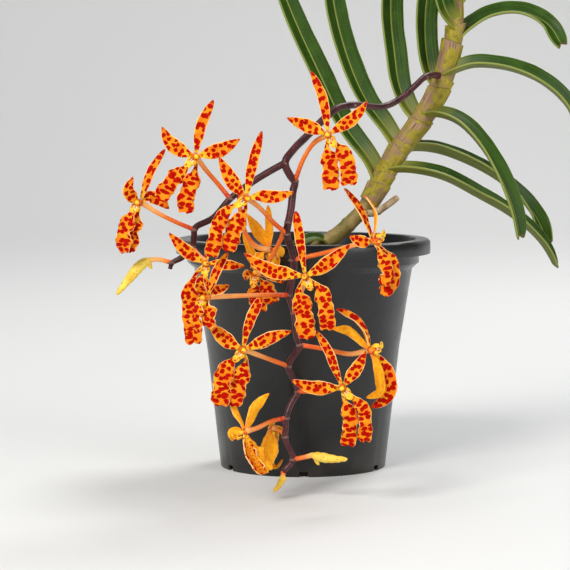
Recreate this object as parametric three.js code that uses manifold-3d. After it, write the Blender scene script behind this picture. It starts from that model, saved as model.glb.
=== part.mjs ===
// A potted renanthera monachica: an orchid with one leafy stem in a black plastic pot of bark. Its spray
// of spotted blooms leaves the stem near the top, comes forward and hangs in front of the pot.
// Millimetres, +Z up, +X to the right and -Y towards the front. The origin is the middle of the pot's base.

import * as THREE from "three";
import { mergeVertices } from "three/addons/utils/BufferGeometryUtils.js";
import Module from "manifold-3d";

const wasm = await Module();
wasm.setup();

// Driving dimensions

const POT_HEIGHT = 96;
const POT_BASE_RADIUS = 34;
const POT_RIM_RADIUS = 52.5;
const POT_RIM_HEIGHT = 5.8;
const POT_WALL = 1.3;
const POT_ROUND_STEPS = 27;
const DRAIN_SLOTS = 6;
const DRAIN_SLOT = { length: 9, width: 3.5, height: 8 };

const BARK_TOP = 84;
const BARK_CHIPS = 15;
const BARK_CHIP_REACH = 33.5;
const BARK_CHIP_TURN = 2.4;
const BARK_SEED = 20;

const STEM_BARE_RADIUS = 3.2;
const STEM_LEAFY_RADIUS = 4.5;
const STEM_TIP_RADIUS = 1.2;
const RACHIS_TOP_RADIUS = 1.5;
const RACHIS_TIP_RADIUS = 1.1;
const BRANCH_RADIUS = 1.35;
const BRANCH_TIP_RADIUS = 1.1;
const PEDICEL_RADIUS = 1.0;

const DORSAL_WIDTH = 4.5;
const PETAL_WIDTH = 5.8;
const LATERAL_WIDTH = 7.2;
const TEPAL_THICKNESS = 0.7;
const LATERAL_WAVE = 0.75;
const TEPAL_START = 1.3;
const COLUMN_LENGTH = 3.4;
const COLUMN_FOOT = 1.4;
const COLUMN_RADIUS = 1.6;
const COLUMN_TOP_RADIUS = 1.1;
const PEDICEL_DEPTH = 0.8;
const LIP_WIDTH = 3.8;
const LIP_RISE = 2.6;
const LIP_TONGUE = 0.5;

const LEAF_WIDTH = 11.5;
const YOUNG_LEAF_WIDTH = 7.5;
const LEAF_RIB_THICKNESS = 1.7;
const LEAF_EDGE_THICKNESS = 0.9;
const LEAF_NOTCH = 1.6;

// What touches its neighbour keeps this much air to it
const SEAT_GAP = 0.3;

// Facets that depart less than this from their neighbours are merged into them, and loose scraps that hold
// less than this many cubic millimetres are left out
const SMALLEST_STEP = 0.08;
const SMALLEST_SCRAP = 1;

// The plant was laid out from its front view, seen by an eye far in front of the pot that looks slightly
// down. A place in that view is given as [across, down] in the view's own 570 steps a side, and the
// distance from the pot's axis that goes with it, y, says how far back the place lies.

const EYE = new THREE.Vector3(-7.5, -977, 153.5);
const EYE_DOWN = THREE.MathUtils.degToRad(4.5);
const VIEW_MIDDLE = 285;
const SLOPE_PER_STEP = 4.222e-4;

function seen(across, down, y) {
  const right = (across - VIEW_MIDDLE) * SLOPE_PER_STEP;
  const up = (VIEW_MIDDLE - down) * SLOPE_PER_STEP;
  const ray = new THREE.Vector3(
    right,
    Math.cos(EYE_DOWN) + up * Math.sin(EYE_DOWN),
    up * Math.cos(EYE_DOWN) - Math.sin(EYE_DOWN),
  );
  return ray.multiplyScalar((y - EYE.y) / ray.y).add(EYE);
}

function seenPath(places) {
  return places.map(([across, down, y]) => seen(across, down, y));
}

// Solids

function solid(positions, triangles) {
  const mesh = new wasm.Mesh({
    numProp: 3,
    vertProperties: new Float32Array(positions),
    triVerts: new Uint32Array(triangles),
  });
  return new wasm.Manifold(mesh);
}

function solidFromGeometry(geometry) {
  geometry.deleteAttribute("normal");
  geometry.deleteAttribute("uv");
  const merged = mergeVertices(geometry, 1e-4);
  return solid(merged.attributes.position.array, merged.index.array);
}

function union(solids) {
  return wasm.Manifold.union(solids);
}

// A closed body through rings of points, each ring with the same even number of points. The second half
// of a ring lies opposite the first half, so a thin blade is split alike on its two faces.
function bodyThroughRings(rings) {
  const count = rings[0].length;
  const half = count / 2;
  const positions = rings.flat().flatMap((point) => [point.x, point.y, point.z]);
  const triangles = [];
  for (let row = 0; row + 1 < rings.length; row += 1) {
    for (let k = 0; k < count; k += 1) {
      const a = row * count + k;
      const b = row * count + ((k + 1) % count);
      const c = b + count;
      const d = a + count;
      if (k < half) {
        triangles.push(a, b, c, a, c, d);
      } else {
        triangles.push(a, b, d, b, c, d);
      }
    }
  }
  const last = (rings.length - 1) * count;
  for (let k = 0; k + 1 < half; k += 1) {
    const opposite = count - 1 - k;
    triangles.push(k, opposite, k + 1, k + 1, opposite, opposite - 1);
    triangles.push(last + k, last + k + 1, last + opposite);
    triangles.push(last + k + 1, last + opposite - 1, last + opposite);
  }
  return solid(positions, triangles);
}

// A round stalk along a smooth path. stations are [how far along, radius], from 0 to 1.
function stalk(path, stations, sides = 8) {
  const curve = new THREE.CatmullRomCurve3(path, false, "centripetal");
  const turn = new THREE.Quaternion();
  let before = curve.getTangentAt(0);
  const across = new THREE.Vector3(0, -1, 0.2).cross(before).normalize();
  const rings = stations.map(([along, radius]) => {
    const middle = curve.getPointAt(along);
    const tangent = curve.getTangentAt(along);
    across.applyQuaternion(turn.setFromUnitVectors(before, tangent));
    before = tangent;
    const other = new THREE.Vector3().crossVectors(tangent, across);
    const ring = [];
    for (let side = 0; side < sides; side += 1) {
      const angle = (2 * Math.PI * side) / sides;
      const point = middle.clone();
      point.addScaledVector(across, radius * Math.cos(angle));
      point.addScaledVector(other, radius * Math.sin(angle));
      ring.push(point);
    }
    return ring;
  });
  return bodyThroughRings(rings);
}

// What a stalk takes out of its neighbours: the stalk itself, grown by its stations, with a plug that also
// clears both of its ends
function clearanceOf(path, stations, sides = 8) {
  const [first, second] = path;
  const [last, beforeLast] = [path.at(-1), path.at(-2)];
  const ends = [
    [first, second, stations[0][1]],
    [last, beforeLast, stations.at(-1)[1]],
  ];
  const plugs = ends.map(([end, inner, radius]) => {
    const inwards = inner.clone().sub(end).normalize();
    const from = end.clone().addScaledVector(inwards, -1.5 * SEAT_GAP);
    const to = end.clone().addScaledVector(inwards, 1);
    return stalk([from, to], [[0, radius], [1, radius]], sides);
  });
  return union([stalk(path, stations, sides), ...plugs]);
}

function evenStations(steps, radiusAt) {
  return Array.from({ length: steps + 1 }, (_, step) => [step / steps, radiusAt(step / steps)]);
}

// A thin blade along a path. front is the way that its upper face looks, and roll turns it about its own
// length, in degrees. outline gives [how far along, share of the width], and lift(along, side) raises
// the blade off its middle line, side being -1 to 1 from edge to edge. fold(along) bends its two halves up
// about the middle line, in degrees.
const FLAT = () => 0;

function blade(shape) {
  const { path, front, roll = 0, width, outline, thickness } = shape;
  const { lift = FLAT, fold = FLAT, strips = 2, notch = 0 } = shape;
  const curve = new THREE.CatmullRomCurve3(path, false, "centripetal");
  const rings = outline.map(([along, share], row) => {
    const middle = curve.getPointAt(along);
    const tangent = curve.getTangentAt(along);
    const sideways = new THREE.Vector3().crossVectors(tangent, front).normalize();
    sideways.applyAxisAngle(tangent, THREE.MathUtils.degToRad(roll));
    const normal = new THREE.Vector3().crossVectors(sideways, tangent);
    const bend = THREE.MathUtils.degToRad(fold(along));
    const upper = [];
    const lower = [];
    for (let strip = 0; strip <= strips; strip += 1) {
      const side = (2 * strip) / strips - 1;
      const reach = (side * share * width) / 2;
      const point = middle.clone().addScaledVector(sideways, reach * Math.cos(bend));
      point.addScaledVector(normal, Math.abs(reach) * Math.sin(bend) + lift(along, side * share));
      if (row === outline.length - 1) {
        point.addScaledVector(tangent, -notch * (1 - Math.abs(side)));
      }
      // Each half is thick across its own face, and the two meet in a mitre on the middle line
      const halfThickness = thickness(side) / 2;
      const across = -Math.sign(side) * halfThickness * Math.sin(bend);
      const through = side === 0 ? halfThickness / Math.cos(bend) : halfThickness * Math.cos(bend);
      upper.push(point.clone().addScaledVector(sideways, across).addScaledVector(normal, through));
      lower.push(point.clone().addScaledVector(sideways, -across).addScaledVector(normal, -through));
    }
    return [...upper, ...lower.reverse()];
  });
  return bodyThroughRings(rings);
}

// Materials, by the part of the plant

const MATERIALS = {
  pot: new THREE.MeshStandardMaterial({ color: 0x0b0b0d, roughness: 0.3 }),
  bark: new THREE.MeshStandardMaterial({ color: 0x5a3a24, roughness: 0.9 }),
  stem: new THREE.MeshStandardMaterial({ color: 0x8a8a4a, roughness: 0.7 }),
  leaf: new THREE.MeshStandardMaterial({ color: 0x3f6a1c, roughness: 0.5 }),
  rachis: new THREE.MeshStandardMaterial({ color: 0x4b2d32, roughness: 0.55 }),
  bloom: new THREE.MeshStandardMaterial({ color: 0xf7981d, roughness: 0.5 }),
  bud: new THREE.MeshStandardMaterial({ color: 0xe8b53a, roughness: 0.5 }),
};

const plant = new THREE.Group();

function addPiece(name, material, body) {
  const bodies = body.simplify(SMALLEST_STEP).decompose();
  const tidy = union(bodies.filter((each) => each.volume() > SMALLEST_SCRAP));
  const { vertProperties, triVerts } = tidy.getMesh();
  const geometry = new THREE.BufferGeometry();
  geometry.setAttribute("position", new THREE.BufferAttribute(vertProperties, 3));
  geometry.setIndex(new THREE.BufferAttribute(triVerts, 1));
  geometry.computeVertexNormals();
  const mesh = new THREE.Mesh(geometry, MATERIALS[material]);
  mesh.name = name;
  plant.add(mesh);
}

// Pot: a thin moulded wall that steps out under a turned-down rim, and a flat base with drain slots

function turned(profile) {
  const points = profile.map(([radius, height]) => new THREE.Vector2(radius, height));
  const geometry = new THREE.LatheGeometry(points, POT_ROUND_STEPS);
  geometry.rotateX(Math.PI / 2);
  return solidFromGeometry(geometry);
}

const WAIST = { radius: 39.6, height: 50 };
const SHOULDER = { radius: 45, height: 84 };
const COLLAR_RADIUS = 47.8;
const COLLAR_FOOT = 86.5;
const BASE_THICKNESS = 1.6;

// Where the inside of the tapering wall meets the base
const POT_INSIDE_FOOT = THREE.MathUtils.mapLinear(
  BASE_THICKNESS,
  0,
  WAIST.height,
  POT_BASE_RADIUS - POT_WALL,
  WAIST.radius - POT_WALL,
);

function makePot() {
  const rimInside = POT_RIM_RADIUS - POT_WALL;
  const rimFoot = POT_HEIGHT - POT_RIM_HEIGHT;
  const flange = POT_HEIGHT - POT_WALL;
  const body = turned([
    [0, 0],
    [POT_BASE_RADIUS, 0],
    [WAIST.radius, WAIST.height],
    [SHOULDER.radius, SHOULDER.height],
    [COLLAR_RADIUS, COLLAR_FOOT],
    [COLLAR_RADIUS, flange],
    [rimInside, flange],
    [rimInside, rimFoot],
    [POT_RIM_RADIUS, rimFoot],
    [POT_RIM_RADIUS, POT_HEIGHT - 1],
    [POT_RIM_RADIUS - 1, POT_HEIGHT],
    [COLLAR_RADIUS - POT_WALL, POT_HEIGHT],
    [COLLAR_RADIUS - POT_WALL, COLLAR_FOOT + 0.5],
    [SHOULDER.radius - POT_WALL, SHOULDER.height + 0.5],
    [WAIST.radius - POT_WALL, WAIST.height],
    [POT_INSIDE_FOOT, BASE_THICKNESS],
    [0, BASE_THICKNESS],
  ]);
  const slots = [];
  for (let slot = 0; slot < DRAIN_SLOTS; slot += 1) {
    const cutter = new THREE.BoxGeometry(DRAIN_SLOT.length, DRAIN_SLOT.width, DRAIN_SLOT.height);
    cutter.translate(POT_BASE_RADIUS, 0, 0);
    cutter.rotateZ((2 * Math.PI * (slot + 0.5)) / DRAIN_SLOTS);
    slots.push(solidFromGeometry(cutter));
  }
  return body.subtract(union(slots));
}

// Stem: it comes up out of the bark, leans to the right and straightens. Its upper part is wrapped in the
// sheaths of the leaves, and below them is the stub of an old spray.

const STEM_PATH = seenPath([
  [305, 330, 0],
  [306, 290, 0],
  [310, 262, 0],
  [319, 247, 0],
  [335, 236, 0],
  [352, 221, 0],
  [367, 205, 0],
  [384, 176, 0],
  [398, 151, 0],
  [419, 123, 0],
  [436, 96, 0],
  [446, 71, 0],
  [453, 42, 0],
  [457, 15, 0],
  [459, -8, 0],
]);
const SHEATHED_FROM = 0.4;
const SHEATHS = 11;
const SHEATH_STEP = 0.45;

// A sheath is widest at its open upper end, and the next one comes out of it. The last one closes on the
// youngest leaf
function stemStations(extra) {
  const stations = [[0, STEM_BARE_RADIUS + extra]];
  for (const along of [0.1, 0.16, 0.22, 0.28, 0.34]) {
    stations.push([along, STEM_BARE_RADIUS + extra]);
  }
  const sheathLength = (1 - SHEATHED_FROM) / SHEATHS;
  for (let sheath = 0; sheath < SHEATHS; sheath += 1) {
    const start = SHEATHED_FROM + sheath * sheathLength;
    const radius = STEM_LEAFY_RADIUS + extra - 1.5 * Math.max(0, (start - 0.75) / 0.25);
    const last = sheath === SHEATHS - 1;
    stations.push([start, radius - SHEATH_STEP / 2]);
    stations.push([start + (last ? 0.3 : 0.85) * sheathLength, radius + (last ? -1 : 1) * SHEATH_STEP / 2]);
  }
  stations.push([1, STEM_TIP_RADIUS + extra]);
  return stations;
}

const stemCutter = clearanceOf(STEM_PATH, stemStations(SEAT_GAP + 0.05));

function makeStem() {
  const cane = stalk(STEM_PATH, stemStations(0));
  const stub = stalk(
    seenPath([
      [362, 212, 0],
      [374, 213, -4],
      [386, 206, -7],
      [398, 197, -8],
    ]),
    [[0, 1.3], [0.35, 1.3], [0.7, 1.2], [1, 1.1]],
    6,
  );
  return cane.add(stub);
}

// Bark: it fills the pot to just under the rim, with chips lying at all angles on top, and has a plain
// hole where the stem stands

function makeRandom(seed) {
  let state = seed;
  return (low, high) => {
    state = (state * 48271) % 2147483647;
    return low + ((high - low) * state) / 2147483647;
  };
}

function makeBark() {
  const gap = POT_WALL + SEAT_GAP;
  const filling = turned([
    [0, BASE_THICKNESS + SEAT_GAP],
    [POT_BASE_RADIUS - gap + 0.1, BASE_THICKNESS + SEAT_GAP],
    [WAIST.radius - gap - 0.1, WAIST.height],
    [SHOULDER.radius - gap - 0.2, SHOULDER.height - 1],
    [SHOULDER.radius - gap - 2, BARK_TOP],
    [0, BARK_TOP + 1],
  ]);
  const random = makeRandom(BARK_SEED);
  const chips = [];
  for (let chip = 0; chip < BARK_CHIPS; chip += 1) {
    const long = random(12, 19);
    const piece = new THREE.BoxGeometry(long, random(7, 11), random(3, 5));
    piece.rotateY(random(-0.45, 0.45));
    piece.rotateX(random(-0.4, 0.4));
    piece.rotateZ(random(0, Math.PI));
    const radius = BARK_CHIP_REACH * Math.sqrt((chip + 0.5) / BARK_CHIPS);
    const angle = chip * BARK_CHIP_TURN;
    const place = [radius * Math.cos(angle), radius * Math.sin(angle), BARK_TOP + random(0.2, 1.8)];
    piece.translate(...place);
    chips.push(solidFromGeometry(piece));
  }
  return union([filling, ...chips]).subtract(stemCutter);
}

// Leaves: keeled straps in two ranks, each clasping the stem at its base and notched at its tip

const LEAF_OUTLINE = [
  [0, 0.4],
  [0.08, 0.78],
  [0.2, 0.96],
  [0.36, 1],
  [0.54, 1],
  [0.72, 0.98],
  [0.86, 0.88],
  [0.96, 0.68],
  [1, 0.45],
];

// fold is how far the two halves of a leaf bend up about its keel, at its base and at its tip
function makeLeaf({ path, front, width = LEAF_WIDTH, fold }) {
  const [foldAtBase, foldAtTip] = fold;
  const strap = blade({
    path: seenPath(path),
    front: new THREE.Vector3(...front).normalize(),
    width,
    outline: LEAF_OUTLINE,
    fold: (along) => THREE.MathUtils.lerp(foldAtBase, foldAtTip, along),
    thickness: (side) => THREE.MathUtils.lerp(LEAF_RIB_THICKNESS, LEAF_EDGE_THICKNESS, Math.abs(side)),
    strips: 2,
    notch: LEAF_NOTCH,
  });
  return strap.subtract(stemCutter);
}

const LEAVES = [
  {
    name: "leaf_left_1",
    front: [0.45, -0.85, 0.3],
    fold: [34, 20],
    path: [
      [379, 187, 0],
      [370, 163, 3],
      [345, 128, 8],
      [320, 77, 11],
      [298, 30, 13],
      [284, -5, 12],
      [276, -30, 10],
    ],
  },
  {
    name: "leaf_left_2",
    front: [0.45, -0.85, 0.3],
    fold: [34, 20],
    path: [
      [399, 152, 0],
      [386, 130, 4],
      [365, 100, 8],
      [348, 62, 11],
      [336, 20, 13],
      [330, -20, 12],
      [329, -48, 9],
    ],
  },
  {
    name: "leaf_left_3",
    front: [0.4, -0.85, 0.3],
    fold: [34, 20],
    path: [
      [420, 126, 0],
      [406, 106, 5],
      [398, 84, 8],
      [394, 57, 10],
      [390, 20, 12],
      [391, -20, 12],
      [398, -80, 8],
    ],
  },
  {
    name: "leaf_left_4",
    front: [0.4, -0.85, 0.3],
    fold: [34, 20],
    path: [
      [442, 93, 2],
      [431, 77, 6],
      [426, 57, 8],
      [424, 20, 10],
      [429, -20, 10],
      [439, -60, 8],
      [451, -92, 4],
    ],
  },
  {
    name: "leaf_left_5",
    front: [0.4, -0.9, 0.2],
    fold: [34, 20],
    path: [
      [456, 26, -1],
      [444, 8, -5],
      [438, -30, -9],
      [441, -70, -10],
      [451, -105, -8],
    ],
    width: 10.5,
  },
  {
    name: "leaf_right_1",
    front: [-0.3, -0.35, 0.9],
    fold: [58, 34],
    path: [
      [386, 174, 0],
      [402, 172, -3],
      [440, 179, -4],
      [475, 196, -2],
      [511, 217, 2],
      [540, 243, 6],
      [556, 268, 10],
    ],
  },
  {
    name: "leaf_right_2",
    front: [-0.3, -0.35, 0.9],
    fold: [58, 34],
    path: [
      [398, 153, 0],
      [413, 151, 3],
      [440, 154, 8],
      [482, 171, 14],
      [515, 195, 17],
      [538, 222, 18],
      [548, 245, 17],
    ],
  },
  {
    name: "leaf_right_3",
    front: [0.6, -0.6, 0.5],
    fold: [50, 30],
    path: [
      [422, 119, 0],
      [437, 117, -4],
      [458, 124, -9],
      [480, 146, -14],
      [500, 180, -18],
      [513, 212, -20],
      [519, 240, -20],
    ],
  },
  {
    name: "leaf_right_4",
    front: [-0.2, -0.45, 0.9],
    fold: [50, 34],
    path: [
      [443, 80, 0],
      [456, 73, -3],
      [475, 67, -5],
      [511, 71, -7],
      [545, 86, -7],
      [568, 108, -5],
      [579, 135, -2],
    ],
  },
  {
    name: "leaf_right_5",
    front: [-0.25, -0.6, 0.8],
    fold: [45, 30],
    path: [
      [453, 45, 0],
      [467, 31, 3],
      [490, 17, 6],
      [520, 13, 8],
      [547, 25, 8],
      [563, 48, 6],
    ],
    width: 10.5,
  },
  {
    name: "leaf_top_young",
    front: [0.2, -0.9, 0.4],
    fold: [38, 24],
    path: [
      [459, 2, 0],
      [466, -28, 2],
      [477, -62, 4],
      [492, -90, 4],
    ],
    width: YOUNG_LEAF_WIDTH,
  },
  {
    name: "leaf_at_foot",
    front: [0, -0.8, 0.6],
    fold: [30, 20],
    path: [
      [326, 243, 0],
      [320, 239, -4],
      [311, 238, -9],
      [301, 242, -14],
      [293, 247, -17],
    ],
    width: 5,
  },
];

// Rachis: the stalk of the spray. It leaves the stem near the top, comes forward over the pot, and hangs
// down in a zigzag from bloom to bloom, with one side branch to the left.

const RACHIS_PATH = seenPath([
  [444, 77, 0],
  [434, 75, -7],
  [425, 77, -13],
  [416, 85, -19],
  [404, 96, -27],
  [391, 104, -34],
  [379, 107, -41],
  [367, 106, -47],
  [353, 105, -53],
  [336, 109, -60],
  [321, 122, -67],
  [306, 137, -75],
  [294, 149, -81],
  [285, 163, -85],
  [291, 177, -84],
  [295, 182, -83.6],
  [293, 191, -84],
  [291, 209, -85.6],
  [287, 230, -86.8],
  [287, 236, -86.8],
  [292, 251, -85.6],
  [294, 265, -84],
  [291, 284, -83.4],
  [289, 295, -83.2],
  [294, 312, -84.4],
  [297, 338, -86.4],
  [300, 345, -86.8],
  [290, 361, -85.6],
  [288, 367, -85],
  [292, 376, -84],
  [298, 391, -83.2],
  [292, 402, -84.2],
  [286, 418, -86],
  [286, 427, -86.2],
  [285, 438, -85.8],
  [293, 459, -84.4],
  [283, 472, -85],
]);
const RACHIS_STEPS = 42;

const BRANCH_PATH = seenPath([
  [287, 162, -85],
  [272, 170, -86],
  [254, 181, -87],
  [231, 198, -88],
  [213, 218, -88],
  [195, 228, -88],
  [194, 236, -88],
  [192, 247, -88],
  [181, 258, -87],
  [172, 263, -87],
  [170, 269, -87],
]);
const BRANCH_STEPS = 16;

function rachisBodies(shape, extra) {
  const mainRadius = (along) => THREE.MathUtils.lerp(RACHIS_TOP_RADIUS, RACHIS_TIP_RADIUS, along) + extra;
  const sideRadius = (along) => THREE.MathUtils.lerp(BRANCH_RADIUS, BRANCH_TIP_RADIUS, along) + extra;
  return union([
    shape(RACHIS_PATH, evenStations(RACHIS_STEPS, mainRadius), 6),
    shape(BRANCH_PATH, evenStations(BRANCH_STEPS, sideRadius), 6),
  ]);
}

const rachisCutter = rachisBodies(clearanceOf, SEAT_GAP + 0.05);

// Blooms: each has a dorsal sepal, two petals, two lateral sepals with waved edges on narrow claws, a
// small lip and a column, and stands on its pedicel

const LANCE_OUTLINE = [[0, 0.32], [0.14, 0.6], [0.36, 1], [0.62, 0.94], [0.84, 0.56], [1, 0.1]];
const CLUB_OUTLINE = [[0, 0.3], [0.16, 0.46], [0.42, 0.92], [0.66, 1], [0.88, 0.76], [1, 0.26]];
const BROAD_OUTLINE = [[0, 0.24], [0.13, 0.32], [0.3, 0.9], [0.55, 0.92], [0.84, 1], [1, 0.6]];

const KINDS = {
  dorsal: { width: DORSAL_WIDTH, outline: LANCE_OUTLINE, strips: 2, cup: 0.5, wave: 0 },
  club: { width: DORSAL_WIDTH, outline: CLUB_OUTLINE, strips: 2, cup: 0.5, wave: 0 },
  petal: { width: PETAL_WIDTH, outline: LANCE_OUTLINE, strips: 2, cup: 0.6, wave: 0 },
  lateral: { width: LATERAL_WIDTH, outline: BROAD_OUTLINE, strips: 4, cup: -0.5, wave: LATERAL_WAVE },
};

// A tepal's way is a list of [across, down, forward], forward being how far it comes towards the eye from
// the plane of its bloom
function tepal(kind, way, { roll = 0, width = KINDS[kind].width } = {}) {
  return { kind, way, roll, width };
}

function makeTepal(bloom, { kind, way, roll, width }) {
  const { outline, strips, cup, wave } = KINDS[kind];
  const path = way.map(([across, down, forward]) => seen(across, down, bloom.y - forward));
  const centre = seen(...bloom.centre, bloom.y);
  const outwards = path[0].clone().sub(centre).normalize();
  path.unshift(centre.addScaledVector(outwards, TEPAL_START));
  return blade({
    path,
    front: new THREE.Vector3(...bloom.front).normalize(),
    roll,
    width,
    outline,
    strips,
    lift: (along, side) => cup * side * side + wave * Math.sin(17 * along + 2.2 * side) * Math.abs(side),
    thickness: () => TEPAL_THICKNESS,
  });
}

function makeBloom(bloom) {
  const [across, down] = bloom.centre;
  const centre = seen(across, down, bloom.y);
  const front = new THREE.Vector3(...bloom.front).normalize();
  const lipPlace = seen(...bloom.lip, bloom.y).addScaledVector(front, LIP_RISE);
  const lipEnd = lipPlace.clone().lerp(centre, -LIP_TONGUE);
  const columnFoot = centre.clone().addScaledVector(front, -COLUMN_FOOT);
  const columnTop = centre.clone().addScaledVector(front, COLUMN_LENGTH);
  const column = stalk([columnFoot, columnTop], [[0, COLUMN_RADIUS], [1, COLUMN_TOP_RADIUS]], 6);
  const lip = blade({
    path: [centre.clone().addScaledVector(front, PEDICEL_DEPTH), lipPlace, lipEnd],
    front,
    width: LIP_WIDTH,
    outline: [[0, 0.6], [0.55, 1], [1, 0.45]],
    lift: (along, side) => 0.7 * side * side,
    thickness: () => TEPAL_THICKNESS,
  });
  const pedicelPath = [
    seen(...bloom.node),
    ...seenPath(bloom.pedicel),
    centre.clone().addScaledVector(front, -PEDICEL_DEPTH),
  ];
  const pedicel = stalk(pedicelPath, evenStations(4, () => PEDICEL_RADIUS), 6);
  const tepals = bloom.tepals.map((each) => makeTepal(bloom, each));
  return union([column, lip, pedicel, ...tepals]).subtract(rachisCutter);
}

const TO_THE_EYE = [0, -1, -0.1];

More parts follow.
